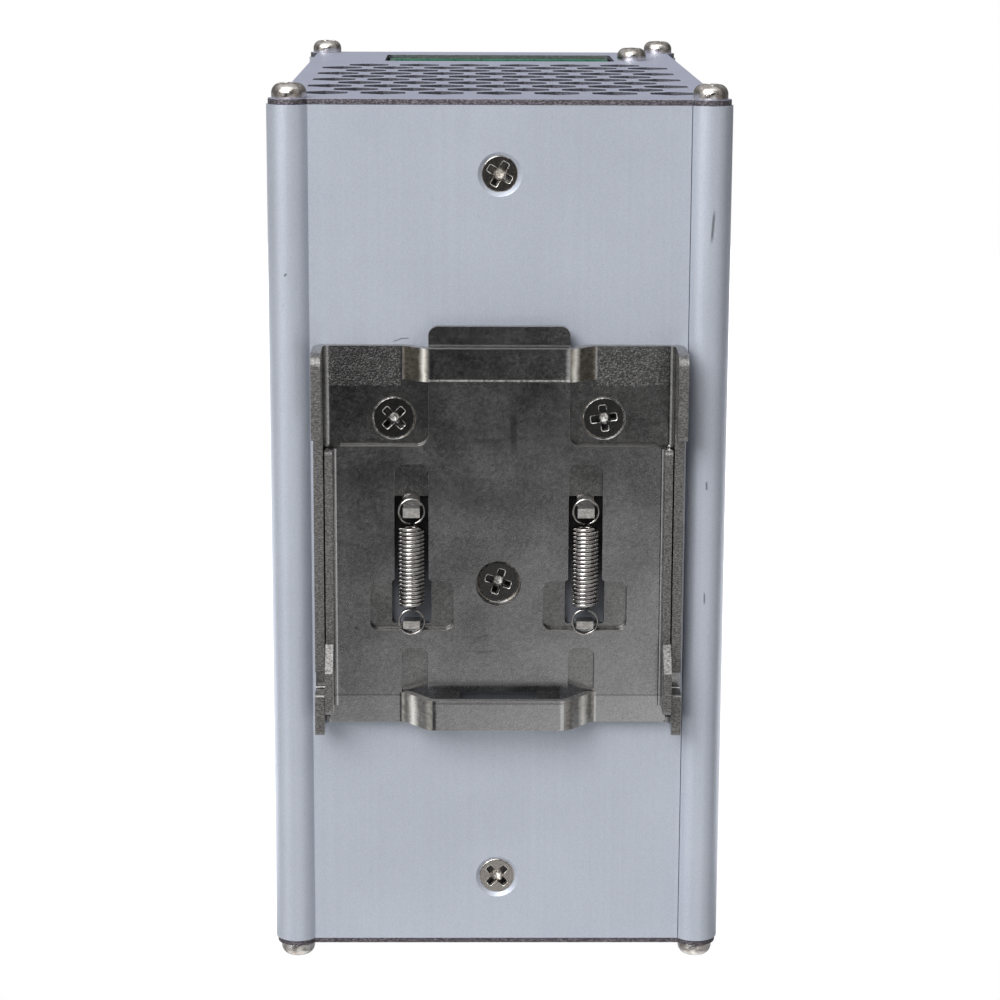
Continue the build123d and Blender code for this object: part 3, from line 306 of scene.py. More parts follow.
def nickel_plate(name, colour, shade, coined, marks=(), strip=0.0):
    """Nickel between colour and shade. Coined is 1 for the bracket, strip 1 for the latch, or 0."""
    finish = Finish(name, colour, Metallic=1.0)
    fine = finish.noise(0.2, 2, rough=0.7)
    grain = finish.noise(0.55, 3, rough=0.65, seed=3.0)
    cloud = finish.noise(7, 4, seed=2.0)
    fleck = finish.step(finish.noise(0.35, 1, seed=6.0), 0.78, 0.84)
    pits = finish.step(finish.noise(0.5, 1, seed=9.0), 0.76, 0.82)
    across, up = finish.along(0), finish.along(2)
    inner, outer = COINED_ACROSS
    sides = finish.inside(across, -outer, -inner, 0.3) + finish.inside(across, inner, outer, 0.3)
    band = sides * finish.inside(up, *(rail + z for z in COINED_UP), 0.2) * coined
    coarse = finish.noise(0.27, 2, rough=0.75, seed=1.0) - 0.52
    tone = cloud * 0.2 + grain * 0.28 + fine * 0.52 + band * coarse * 1.8 - band * 0.06
    # Below the fold the latch is lighter, a painted sheen, and the fold itself is a line of painted
    # shade.
    low = finish.step(up, rail + FOLD + 0.15, rail + FOLD - 0.05) * strip
    fold_shade = finish.inside(up, rail + FOLD - 0.1, rail + FOLD + 0.1, 0.12) * strip
    # A painted highlight along the bridge's lower edge, on the bracket only.
    lip = finish.inside(up, *(rail + z for z in LIP), 0.1)
    lip = lip * finish.inside(across, -LIP_HALF, LIP_HALF, 0.2)
    painted_highlight = lip * grain * 1.05 * coined
    plate = finish.blend(finish.step(tone, 0.3, 0.7), shade, colour)
    with_fold_sheen = finish.blend(low * 0.16, plate, (0.95, 0.94, 0.93))
    # Smears and pits are real dirt; the fold's line of painted shade is blended in with them.
    dark_marks = sum((finish.stroke(*mark) for mark in marks), pits * 0.6)
    dust_and_fold_shade = finish.blend((dark_marks + fold_shade) * 0.5, with_fold_sheen, (0.06, 0.055, 0.05))
    finish.feed("Base Color", finish.blend(fleck * 0.5 + painted_highlight, dust_and_fold_shade, (1.0, 0.98, 0.95)))
    finish.feed("Metallic", 1 - painted_highlight * 0.5)
    finish.feed("Roughness", cloud * 0.12 + grain * 0.12 + band * 0.03 + 0.07)
    finish.bump(grain * 0.04 + fine * 0.04 + band * coarse * 0.45, 0.1)
    return finish.material


def bent_nickel(name, dark, light, place, half):
    """Nickel on a bend beside a bridge: darker and browner than the plate, with one streak of
    painted highlight.

    place is how far the streak lies from the clip's middle, and half is half its width, both
    in millimetres.
    """
    finish = Finish(name, dark)
    mottle = finish.noise(0.6, 3, (1.6, 1.6, 0.8), 0.6)
    across = finish.along(0) + (finish.noise(2.5, 2, seed=4.0) - 0.5) * 0.8
    left, right = (finish.inside(across, side * place - half, side * place + half, half * 1.2)
                   for side in (-1, 1))
    # The streak is a painted highlight on the bend.
    painted_highlight_streak = left + right
    bend_tone = finish.blend(finish.step(mottle, 0.38, 0.7), dark, light)
    finish.feed("Base Color", finish.blend(painted_highlight_streak * 0.9, bend_tone, (1.0, 0.97, 0.90)))
    finish.feed("Metallic", 0.9 - painted_highlight_streak * 0.5)
    finish.feed("Roughness", mottle * 0.2 + 0.2)
    finish.bump(mottle, 0.08)
    return finish.material


bridge_bend = bent_nickel("bridge_bent_nickel", (0.20, 0.18, 0.15), (0.33, 0.30, 0.255), 11.75, 0.4)
loop_bend = bent_nickel("loop_bent_nickel", (0.33, 0.315, 0.29), (0.50, 0.48, 0.45), 13.4, 0.5)
smears = [
    (2.3, rail + 16.6, 1.6, 7.5, 1.5, 0.9), (-2.0, rail + 15.0, 0.03, 6.5, 1.2, 0.5),
    (-2.4, rail - 16.3, 0.3, 2.8, 0.6, 0.5), (-1.9, rail - 18.8, 0.1, 3.6, 0.5, 0.6),
    (-22.3, rail - 14.9, 0, 0.6, 0.6),
]
clip_plate = nickel_plate("clip_nickel_plate", (0.54, 0.535, 0.53), (0.23, 0.226, 0.223), 1.0)
latch_plate = nickel_plate("latch_nickel_plate", (0.60, 0.595, 0.60), (0.33, 0.327, 0.33), 0.0,
                           smears, 1.0)
print("finishes:", clip_plate.name, latch_plate.name, bridge_bend.name, loop_bend.name)

# %% [markdown]
# ## Polished, worn and dark fastener metals
# Screws are tumbled and plated in bulk, so a head is bright with small dents. The screws of
# the clip and the wall have a darker plating, which the driver has rubbed off in places, so
# they have a recipe of their own that reads from the screw's mesh the wear, a painted
# highlight on the cross's edges, its cone and the head's rim, and painted shade in the wings.
# %% Fastener finishes
def plated(name, colour, shade, rough, dent):
    """Bright metal in patches of two colours, with dents of a given depth in millimetres."""
    finish = Finish(name, colour, Metallic=1.0)
    cloud = finish.noise(1.2, 2)
    grain = finish.noise(0.12, 2, seed=3.0)
    finish.feed("Base Color", finish.blend(finish.step(cloud, 0.35, 0.7), colour, shade))
    finish.feed("Roughness", cloud * 0.1 + grain * 0.08 + (rough - 0.09))
    finish.bump(cloud * 0.7 + grain * 0.3, dent)
    return finish.material


def dark_plating_with_painted_light(name, face, bare, rough):
    """Dark plating, lighter where the attribute is high, which is driver wear with painted
    highlight, and darker where it is below 0, which is painted shade.
    """
    finish = Finish(name, face, Metallic=1.0)
    wear_and_painted_light = finish.node("ShaderNodeAttribute", {"attribute_name": "wear_and_painted_light"}, {}, "Fac")
    grain = finish.noise(0.16, 2, seed=3.0)
    # High values, driver wear with painted highlight, turn the plating light; values below 0,
    # painted shade, turn it near black.
    painted_highlight = finish.step(wear_and_painted_light + finish.noise(0.6, 2, seed=8.0) - 0.5, 0.3, 0.8)
    dark_marks = finish.step(wear_and_painted_light, -0.1, -0.6)
    plain = finish.blend(finish.step(grain, 0.4, 0.75), face, tuple(1.5 * c for c in face))
    with_recess_shade = finish.blend(dark_marks * 0.85, plain, (0.012, 0.012, 0.012))
    finish.feed("Base Color", finish.blend(painted_highlight, with_recess_shade, bare))
    finish.feed("Metallic", 1 - painted_highlight * 0.45)
    finish.feed("Roughness", grain * 0.12 + painted_highlight * 0.1 + (rough - 0.06))
    finish.bump(grain, 0.015)
    return finish.material


bright_nickel = plated("bright_nickel", (0.82, 0.79, 0.76), (0.40, 0.35, 0.31), 0.10, 0.13)
black_screw = dark_plating_with_painted_light("black_screw", (0.105, 0.102, 0.10), (0.90, 0.88, 0.85), 0.2)
brown_screw = dark_plating_with_painted_light("brown_screw", (0.36, 0.335, 0.31), (0.92, 0.89, 0.84), 0.2)
spring_wire = plated("spring_wire", (0.56, 0.54, 0.52), (0.34, 0.32, 0.31), 0.15, 0.01)
zinc_plate = plated("zinc_plate", (0.66, 0.67, 0.68), (0.52, 0.53, 0.55), 0.32, 0.02)
tinned_pin = plated("tinned_pin", (0.80, 0.79, 0.75), (0.68, 0.67, 0.63), 0.22, 0.01)
milled_bar = plated("milled_bar", (0.76, 0.77, 0.78), (0.64, 0.65, 0.66), 0.34, 0.02)
print("seven fastener and bar metals")

# %% [markdown]
# ## Finer copies of measured pieces
# The measured pieces have perfectly sharp edges, which never catch the light. A copy with
# its doubles merged and its flat areas joined can take a small bevel. The bevel's own faces
# can get a material of their own, so a plated edge can carry a painted highlight, brighter
# than the face beside it, and the faces that point sideways on a sheet can take the sheared finish.
# %% Copy and bevel helpers
WELD = 0.002 * MM  # points nearer than this are one point
FLAT = radians(0.5)  # faces that meet at less than this are one face


def finish_piece(obj, body, slot, *replaced):
    """Puts a piece on its body and says which measured nodes it stands for."""
    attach(obj, body)
    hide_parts(*replaced)
    print(f"{obj.name}: {len(obj.data.polygons)} faces")
    return obj


def merged_copy(node, name):
    """The node's mesh with its doubles merged and its flat areas joined into whole faces."""
    mesh = nodes[node].data.copy()
    mesh.materials.clear()
    shape = bmesh.new()
    shape.from_mesh(mesh)
    bmesh.ops.remove_doubles(shape, verts=shape.verts, dist=WELD)
    bmesh.ops.dissolve_limit(
        shape, angle_limit=FLAT, verts=shape.verts, edges=shape.edges, delimit={"NORMAL"}
    )
    shape.to_mesh(mesh)
    shape.free()
    obj = bpy.data.objects.new(name, mesh)
    bpy.context.scene.collection.objects.link(obj)
    return obj


def bevelled(obj, width, materials, edge_index, steps=2, least=28):
    """Rounds the sharp edges by width in millimetres. The new faces take materials[edge_index],
    or with -1 the material of the face beside them."""
    for material in materials:
        obj.data.materials.append(material)
    obj.data.shade_smooth()
    obj.data.set_sharp_from_angle(angle=radians(least))
    bevel = obj.modifiers.new("rounded edges", "BEVEL")
    bevel.width = width * MM
    bevel.segments = steps
    bevel.limit_method = "ANGLE"
    bevel.angle_limit = radians(least)
    bevel.material = edge_index
    bevel.use_clamp_overlap = True
    even = obj.modifiers.new("even shading", "WEIGHTED_NORMAL")
    even.keep_sharp = True
    return obj


def faces_where(obj, test, index):
    """Gives a material index to the faces whose centre and normal pass a test."""
    mesh = obj.data
    centres = np.empty(len(mesh.polygons) * 3, np.float32)
    normals = np.empty(len(mesh.polygons) * 3, np.float32)
    mesh.polygons.foreach_get("center", centres)
    mesh.polygons.foreach_get("normal", normals)
    chosen = test(centres.reshape(-1, 3), normals.reshape(-1, 3))
    current = np.zeros(len(mesh.polygons), np.int32)
    mesh.polygons.foreach_get("material_index", current)
    current[chosen] = index
    mesh.polygons.foreach_set("material_index", current)
    return int(chosen.sum())

# %% [markdown]
# ## The two extrusions and the two covers
# The walls are one long section each, so only their sawn ends need softening. The covers
# are sheet: the faces are anodised, and everything that points sideways is sheared. The
# outline keeps the sheared finish, and the vents and the straight sides of the connector's
# cut-out are darker, painted shade inside the openings.
# %% Walls and covers
RIM = 0.6 * MM  # faces this near the outline belong to it
REAR_BAND = 4 * MM  # the rear edge lies up to this far inside the lugs

for node in ("housing_profile_rear", "housing_profile_front"):
    wall = merged_copy(node, node.replace("housing", "wall"))
    bevelled(wall, 0.12, [case_metal], 0)
    finish_piece(wall, "case", "case_extrusion", node)

for node in ("top_cover", "bottom_cover"):
    cover = merged_copy(node, node.replace("cover", "vented_cover"))
    low, high = (np.array(corner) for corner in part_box(node))

    def at_rim(centre, normal):
        inside_low, inside_high = (centre - low)[:, :2], (high - centre)[:, :2]
        near = (np.minimum(inside_low, inside_high).min(1) < RIM) | (inside_low[:, 1] < REAR_BAND)
        return (abs(normal[:, 2]) < 0.5) & near

    # Sideways faces take the vents' painted shade, near black.
    cut = faces_where(cover, lambda centre, normal: abs(normal[:, 2]) < 0.5, 1)
    # Faces that look along Y, such as the cut-out's straight sides, take painted shade tinted
    # green; the outline then takes the sheared finish.
    faces_where(cover, lambda centre, normal: abs(normal[:, 1]) > 0.95, 3)
    faces_where(cover, at_rim, 2)
    bevelled(cover, 0.12, [cover_metal, vent_wall_shade, cover_edge, cutout_wall_shade], -1)
    finish_piece(cover, "case", "cover_sheet", node)
    print(f"{cover.name}: {cut} sheared faces")

# %% [markdown]
# ## The clip's two stampings
# The bracket and the latch are folded sheet. The faces across the sheet's thickness are the
# punched edges, which the nickel rubs off first, and their bevels carry a painted highlight.
# On both stampings the walls are folded to the rear, so their punched edges are the faces
# that look straight back, and on the flat plate they are the faces that look along the plate.
# The spring tabs' ends and the bridges' sloping sides take finishes of their own.
# %% Bracket and latch
WALLS_FROM = 25 * MM  # beyond this distance from the middle the sheet is a folded wall
WALL_RIM_DEPTH, TAB_TIP_DEPTH = 3.4, 4.0  # such faces lie at least this far behind the rear wall
TABS_FROM, TABS_TO = 11.8 * MM, 20 * MM
BRIDGES_TO = 16 * MM


def punched(centre, normal):
    """Rims of the folded walls and of the plate: narrow faces across the sheet."""
    behind = (rear - centre[:, 1]) / MM
    in_wall = abs(centre[:, 0]) > WALLS_FROM
    wall_rim = (behind > WALL_RIM_DEPTH) & in_wall & (abs(normal[:, 0]) < 0.5)
    return wall_rim | (abs(normal[:, 1]) < 0.3) & ~in_wall


def tab_tip(centre, normal):
    """Ends of the tabs that hold the springs: they look straight back."""
    behind, sideways = (rear - centre[:, 1]) / MM, abs(centre[:, 0])
    at_tab = (behind > TAB_TIP_DEPTH) & (sideways > TABS_FROM) & (sideways < TABS_TO)
    return at_tab & (normal[:, 1] < -0.9)


def slope(centre, normal):
    """Sloping sides of the two bridges, which take the darker, browner bend finish with its painted
    highlight.
    """
    return (abs(normal[:, 0]) > 0.3) & (normal[:, 1] < -0.2) & (abs(centre[:, 0]) < BRIDGES_TO)


def stamping(node, name, body, bevel, plate, bend):
    """Bracket or latch with finishes for its plate, punched edges, corners, tab ends and bends."""
    sheet = merged_copy(node, name)
    for test, index in ((punched, 1), (tab_tip, 3), (slope, 4)):
        faces_where(sheet, test, index)
    bevelled(sheet, bevel, [plate, clip_rim, clip_edge_highlight, tab_end, bend], 2)
    return finish_piece(sheet, body, "clip_steel", node)


stamping("rail_bracket", "clip_bracket", "case", 0.18, clip_plate, bridge_bend)
stamping("rail_latch", "clip_latch", "latch", 0.15, latch_plate, loop_bend)

# %% [markdown]
# ## Surfaces from formulas
# A round or coiled piece is a surface of two parameters: one round the section and one
# along it. All its points come from one numpy expression, and one helper joins a grid of
# points into a mesh. Each row of the grid is a closed ring.
# %% Grid to mesh
SAME_POINT = 0.001 * MM  # the points of a ring of no size become one point


def grid_faces(rows, columns):
    """Quads between neighbours of a grid of points numbered row by row. Each row is a ring."""
    r, c = np.arange(rows - 1)[:, None], np.arange(columns)[None, :]
    r2, c2 = r + 1, (c + 1) % columns
    corners = (r * columns + c, r * columns + c2, r2 * columns + c2, r2 * columns + c)
    return np.stack([corner.ravel() for corner in corners], 1)


def surface(name, grids, material, angle=40, wear_and_painted_light=None):
    """One piece from several grids of points in metres, each of shape (rows, columns, 3).

    Edges sharper than the angle stay sharp. The last argument may hold one number per point,
    which the finish reads as an attribute: for screws, wear with painted highlight and painted
    shade.
    """
    points, faces, first = [], [], 0
    for grid in grids:
        rows, columns = grid.shape[:2]
        points.append(grid.reshape(-1, 3))
        faces.append(grid_faces(rows, columns) + first)
        first += rows * columns
    mesh = bpy.data.meshes.new(name)
    mesh.from_pydata(np.concatenate(points), [], np.concatenate(faces))
    if wear_and_painted_light is not None:
        layer = mesh.attributes.new("wear_and_painted_light", "FLOAT", "POINT")
        values = np.concatenate([w.ravel() for w in wear_and_painted_light]).astype(np.float32)
        layer.data.foreach_set("value", values)
    shape = bmesh.new()
    shape.from_mesh(mesh)
    bmesh.ops.remove_doubles(shape, verts=shape.verts, dist=SAME_POINT)
    bmesh.ops.recalc_face_normals(shape, faces=shape.faces)
    shape.to_mesh(mesh)
    shape.free()
    mesh.materials.append(material)
    mesh.shade_smooth()
    mesh.set_sharp_from_angle(angle=radians(angle))
    obj = bpy.data.objects.new(name, mesh)
    bpy.context.scene.collection.objects.link(obj)
    return obj


def smooth_step(value, low, high):
    """0 below low and 1 above high, with a smooth rise between them."""
    t = np.clip((value - low) / (high - low), 0, 1)
    return t * t * (3 - 2 * t)

# %% [markdown]
# ## Screw heads
# A cross recess is a valley pressed into the head: four tapered wings that fall to a point,
# with walls that lean a little. It is cut from the head's height, so one surface gives a
# head with soft lips and a true shadow in the recess. The head's outline is a profile from
# the crown to the rim and down to the shank, turned about the axis.
# %% Screw surfaces
ROUND = 160  # points round a head


def cross_depth(x, y, reach, width, depth):
    """Depth of the recess at x, y, and its wear and painted light.

    The distance to the cross's outline is taken to the nearer of two bars with round corners.
    The walls lean in over a sixth of a millimetre, the wings' floors fall towards the axis, and
    a blunt cone joins them. The driver wears the outline, which also takes a painted highlight,
    the cone takes a painted highlight, and the wings' floors take painted shade, below 0.
    """
    corner = 0.25  # rounding of each wing's corners

    def outside(along, beside):
        past = abs(along) - reach + corner, abs(beside) - width * 0.5 + corner
        return np.hypot(*np.maximum(past, 0)) + np.minimum(np.maximum(*past), 0) - corner

    away = np.hypot(x, y)
    gap = np.minimum(outside(x, y), outside(y, x))
    wall = smooth_step(-gap, -0.02, 0.16)
    floor = 0.3 + 0.35 * np.clip(1 - away / reach, 0, 1)
    cone = np.clip(1 - away / (width * 0.9), 0, 1) * 0.5
    # The outline, which the driver wears, and the cone at the centre take a painted highlight.
    outline = 0.75 * (1 - smooth_step(abs(gap), 0.03, 0.11))
    outline = outline * smooth_step(away, 0.3 * reach, 0.8 * reach)
    centre = 0.8 * (1 - smooth_step(away, width * 0.5, width))
    painted_highlight = np.maximum(outline, centre)
    # Below 0 on the wings' floors: painted shade.
    return depth * wall * (floor + cone), painted_highlight - 0.8 * wall * (1 - painted_highlight)


def screw(profile, reach, width, depth, place, turn):
    """Turns a profile of (radius, height) in millimetres about the axis and sinks the cross.

    Point = place * (r cos a, r sin a, z - cross depth), for each profile point r, z and angle a.
    The head's rim takes a painted highlight. Returns the points in metres, and their wear and
    painted light.
    """
    radius, height = np.array(profile).T[:, :, None]
    angle = np.linspace(0, 2 * pi, ROUND, endpoint=False)[None, :]
    x, y = radius * np.cos(angle), radius * np.sin(angle)
    face = np.arange(radius.size)[:, None] <= np.argmax(radius)
    sunk, wear_and_painted_light = cross_depth(x, y, reach, width, depth)
    points = np.stack([x, y, height - sunk * face], 2) * MM
    matrix = np.array(place @ Matrix.Rotation(turn, 4, "Z"))
    # A painted highlight round the head's rim.
    edge = smooth_step(radius, radius.max() - 0.12, radius.max() - 0.04) * np.ones_like(x)
    return points @ matrix[:3, :3].T + matrix[:3, 3], (wear_and_painted_light + 0.6 * edge) * face


def screw_piece(name, made, material, slot, node, angle):
    """One piece from several screws, each a grid of points and its wear and painted light."""
    grids, wear_and_painted_light = zip(*made)
    heads = surface(name, grids, material, angle, wear_and_painted_light)
    return finish_piece(heads, "case", slot, node)


def pan_profile(radius, height, edge, shank, length):
    """Crown, flat top, rounded edge, underside and shank of a pan head."""
    flat = np.linspace(0, radius - edge, 30)
    crown = height - 0.1 * (flat / radius) ** 2
    arc = np.linspace(0, pi / 2, 26)[1:]
    out, down = edge * (np.sin(arc) - 1), edge * (1 - np.cos(arc)) + 0.02
    rim = np.stack([radius + out, height - down], 1)
    rest = [(radius, 0.25), (radius - 0.08, 0.02), (shank, 0), (shank, -length), (0, -length)]
    return [*zip(flat, crown), *map(tuple, rim), *rest]


def flat_profile(radius, rim, shank, length):
    """Flat top with a soft lip, short rim, cone and shank of a countersunk head."""
    flat = np.linspace(0, radius - 0.12, 52)
    lip = [(radius - 0.05, -0.02), (radius, -0.07), (radius, -rim)]
    cone = -rim - (radius - shank)
    return [*zip(flat, flat * 0), *lip, (shank, cone), (shank, -length), (0, -length)]

# %% [markdown]
# ## Cover screws
# Four pan heads close each end, and one more holds the connector's bracket. Real screws stop
# at any angle, so each one is turned differently. Their places come from the measured heads.
# %% Pan heads on both covers
HEAD = 2.7  # radius of a pan head
SHANK = 1.5  # radius of every screw's thread
PAN_RECESS = (1.75, 1.0, 1.3)  # reach, wing width, depth
top_face, low_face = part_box("top_cover")[1].z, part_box("bottom_cover")[0].z
extra = sum(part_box("terminal_bracket_screws"), Vector()) / 2
low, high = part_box("top_cover_screws")
corners = [(x, y) for x in (low.x + HEAD * MM, high.x - HEAD * MM)
           for y in (low.y + HEAD * MM, high.y - HEAD * MM)]
pan = pan_profile(radius=HEAD, height=2.3, edge=1.5, shank=SHANK, length=7.9)
upward, downward = Matrix.Identity(4), Matrix.Rotation(pi, 4, "X")


def pan_heads(name, node, places):
    """Pan heads for each x, y, z, facing and turn in places."""
    made = [
        screw(pan, *PAN_RECESS, Matrix.Translation((x, y, z)) @ facing, turn)
        for x, y, z, facing, turn in places
    ]
    return screw_piece(name, made, bright_nickel, "screw_nickel", node, 60)


turned = list(zip(corners, (0.5, 1.1, 0.25, 0.9)))
pan_heads("cover_screws_top", "top_cover_screws",
          [(x, y, top_face, upward, turn) for (x, y), turn in turned])
pan_heads("cover_screws_bottom", "bottom_cover_screws",
          [(x, y, low_face, downward, turn) for (x, y), turn in turned])
pan_heads("terminal_screws", "terminal_bracket_screws",
          [(extra.x, extra.y, top_face, upward, 0.7), (extra.x, extra.y, low_face, downward, 0.3)])

# %% [markdown]
# ## Countersunk screws
# Three hold the bracket and two more, deeper in the wall, hold the heat spreader inside.
# Their heads are flat, so nearly all that shows is the cross and the ring of shade around it.
# %% Flat heads
FLAT_RECESS = (2.05, 1.15, 1.3)  # reach, wing width, depth
CLIP_FACE, WALL_FACE = rear - 1.45 * MM, rear + 0.45 * MM  # where the heads' faces lie
WALL_SCREW_INSET = 10.5 * MM  # from the case's ends
to_rear = Matrix.Rotation(pi / 2, 4, "X")


def flat_heads(name, node, material, radius, length, face, places):
    """Countersunk heads at y = face, for each x, z and turn in places."""
    profile = flat_profile(radius, rim=0.1, shank=SHANK, length=length)
    made = [
        screw(profile, *FLAT_RECESS, Matrix.Translation((x, face, z)) @ to_rear, radians(turn))
        for x, z, turn in places
    ]
    return screw_piece(name, made, material, "screw_dark", node, 50)


clip_places = [(x * MM, rail_level + z * MM, turn)
               for x, z, turn in ((-16.3, 18.45, 45), (16.3, 18.45, 8), (0, -7.7, -18))]
wall_places = [(0, case_low + WALL_SCREW_INSET, 45), (0, case_high - WALL_SCREW_INSET, -30)]
flat_heads("clip_screws", "bracket_screws", black_screw, 3.2, 4.9, CLIP_FACE, clip_places)
flat_heads("wall_screws", "spreader_screws", brown_screw, 2.8, 7.9, WALL_FACE, wall_places)

# %% [markdown]
# ## The two springs
# Each spring is one wire: a loop over the upper tab, a close-wound coil, and a loop over the
# lower tab. The wire's middle line is a path, and a circle carried along it makes the
# surface. The springs stretch when the latch is pulled.
# %% Spring wire
SPRING_X, SPRING_DEPTH = 13.6, 3.15  # axis from the middle, and behind the rear wall
COIL_WIRE, LOOP_WIRE = 0.28, 0.2  # wire radius; the loops' is drawn a little finer
RING = 10  # points round the wire
FREE = 3  # points of the coil left out at each end, where the wire runs into a loop


def tube(path, wire, guide):
    """Circle carried along a path of points, with one wire radius per point.

    Each ring lies in the plane of n = tangent x guide and b = tangent x n, so that a point is
    path + wire (n cos a + b sin a). The guide is never along the path.
    """
    tangent = np.gradient(path, axis=0)
    tangent /= np.linalg.norm(tangent, axis=1)[:, None]
    n = np.cross(tangent, guide)
    n /= np.linalg.norm(n, axis=1)[:, None]
    b = np.cross(tangent, n)
    a = np.linspace(0, 2 * pi, RING, endpoint=False)[None, :, None]
    rings = path[:, None] + wire[:, None, None] * (n[:, None] * np.cos(a) + b[:, None] * np.sin(a))
    ends = [np.repeat(path[k][None, None], RING, 1) for k in (0, -1)]
    return np.concatenate([ends[0], rings, ends[1]])


def spring_path(turns, radius, low, high, loop_low, loop_high, loop_radius):
    """Middle line of the wire in millimetres, its guide and its radius, from the lower loop up.

    Coil: (R cos t, R sin t, rising). Loop: a circle in the plane of the plate whose centre
    is on the coil's axis, joined to the coil by a short straight run.
    """
    t = np.linspace(0, 2 * pi * turns, turns * 20 + 1)
    z = low + (high - low) * t / t[-1]
    coil = np.stack([radius * np.cos(t), radius * np.sin(t), z], 1)

    def loop(centre, start, sign):
        a = np.linspace(0, 1.93 * pi, 34)
        circle = start + sign * a
        x, z = loop_radius * np.cos(circle), centre + loop_radius * np.sin(circle)
        return np.stack([x, 0 * a, z], 1)

    upper = loop(loop_high, -0.46 * pi, 1)
    lower = loop(loop_low, 0.46 * pi, -1)[::-1]
    path = np.concatenate([lower, coil[FREE:-FREE], upper])
    guide = np.zeros_like(path)
    guide[:, 2] = 1
    guide[: len(lower)] = guide[-len(upper):] = (0, 1, 0)
    wire = np.full(len(path), COIL_WIRE)
    wire[: len(lower)] = wire[-len(upper):] = LOOP_WIRE
    return path, guide, wire


path, guide, wire_radius = spring_path(turns=20, radius=1.8, low=-11.2, high=1.5,
                                       loop_low=-13.8, loop_high=3.9, loop_radius=1.95)
for side, node in ((-1, "latch_spring_left"), (1, "latch_spring_right")):
    place = np.array([side * SPRING_X, rear / MM - SPRING_DEPTH, rail])
    grid = tube((path + place) * MM, wire_radius * MM, guide)
    wire = surface(node.replace("latch", "coil"), [grid], spring_wire)
    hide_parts(node)
    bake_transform(wire)
    print(f"{wire.name}: {len(wire.data.polygons)} faces")

# %% [markdown]
# ## Boards and moulded parts inside
# The vents and the terminal openings show the inside, so the boards, cans, coils and
# connectors get finishes too: green resist with buried tracks, moulded plastic with a fine
# grain, dark ferrite, and sleeves and tapes with a soft gloss.
# %% Circuit board
def circuit_board(name):
    """Green resist over tracks that stand out a little, with bare round pads."""
    finish = Finish(name, (0.02, 0.13, 0.07), Roughness=0.35)
    tracks = finish.cells(3.2, (1, 1, 1), (0.3, 0.2, 0.1), "DISTANCE_TO_EDGE")
    copper = finish.step(tracks, 0.05, 0.09)
    pads = finish.step(finish.cells(2.6), 0.2, 0.16)
    weave = finish.noise(0.5, 1)
    resist = finish.blend(copper, (0.012, 0.085, 0.045), (0.025, 0.16, 0.085))
    finish.feed("Base Color", finish.blend(pads, resist, (0.62, 0.60, 0.55)))
    finish.feed("Metallic", pads * 0.8)
    finish.bump(copper * 0.6 + pads + weave * 0.2, 0.04)
    return finish.material


def moulded(name, colour, shade, rough=0.5, grain_size=0.25, depth=0.02):
    """Plastic or fired powder in clouds of two colours, with a grain of a given size and depth."""
    finish = Finish(name, colour)
    grain = finish.noise(grain_size, 2)
    cloud = finish.noise(6, 2)
    patches = finish.step(cloud * 0.6 + grain * 0.4, 0.3, 0.7)
    finish.feed("Base Color", finish.blend(patches, shade, colour))
    finish.feed("Roughness", grain * 0.2 + (rough - 0.1))
    finish.bump(grain, depth)
    return finish.material


board_green = circuit_board("board_green")
header_green = moulded("header_green", (0.035, 0.16, 0.10), (0.022, 0.12, 0.07), 0.42)
moulding_black = moulded("moulding_black", (0.035, 0.035, 0.04), (0.02, 0.02, 0.022), 0.5)
ferrite_grey = moulded("ferrite_grey", (0.075, 0.075, 0.08), (0.045, 0.045, 0.05), 0.62, 0.4, 0.05)
pad_grey = moulded("pad_grey", (0.42, 0.47, 0.53), (0.36, 0.41, 0.47), 0.75)
film_yellow = moulded("film_yellow", (0.62, 0.46, 0.12), (0.55, 0.40, 0.10), 0.35)
disc_blue = moulded("disc_blue", (0.04, 0.12, 0.42), (0.03, 0.09, 0.33), 0.3)
relay_blue = moulded("relay_blue", (0.05, 0.09, 0.24), (0.04, 0.07, 0.2), 0.35)
trimmer_blue = moulded("trimmer_blue", (0.05, 0.13, 0.42), (0.04, 0.1, 0.35), 0.45)
rotor_white = moulded("rotor_white", (0.78, 0.77, 0.72), (0.7, 0.69, 0.64), 0.4)
powder_core = moulded("powder_core", (0.60, 0.52, 0.10), (0.5, 0.43, 0.08), 0.45)
lamp_green = moulded("lamp_green", (0.10, 0.45, 0.14), (0.08, 0.38, 0.11), 0.2)
print("a board and eleven mouldings")

# %% [markdown]
# Cans, tape and wire have a direction: a can has a sleeve with a bare metal end, tape is
# wound in bands, and wire lies in turns. Each of these masks follows one coordinate.
# %% Cans, tape, film and clear parts
def sleeved_can(name, ends):
    """Dark sleeve round the side, bare metal on the far end beyond each height in ends."""
    finish = Finish(name, (0.03, 0.035, 0.06))
    out = finish.along(0) - board_face / MM
    bare = sum(finish.inside(out, end - 0.35, end + 1, 0.05) for end in ends)
    scratch = finish.noise(0.4, 2, (1, 6, 1))
    sleeve = finish.blend(scratch, (0.02, 0.024, 0.045), (0.035, 0.04, 0.07))
    finish.feed("Base Color", finish.blend(bare, sleeve, (0.74, 0.75, 0.76)))
    finish.feed("Metallic", bare)
    finish.feed("Roughness", scratch * 0.15 + 0.22)
    finish.bump(scratch, 0.01)
    return finish.material


def wound_tape(name, colour, shade):
    """Bands of tape across X, a little uneven."""
    finish = Finish(name, colour, Roughness=0.3)
    bands = finish.node("ShaderNodeTexWave", {"bands_direction": "X"},
                        {"Vector": finish.place(), "Scale": 0.035, "Distortion": 0.6})
    finish.feed("Base Color", finish.blend(bands, shade, colour))
    finish.bump(bands + finish.noise(1.5, 2) * 0.5, 0.08)
    return finish.material


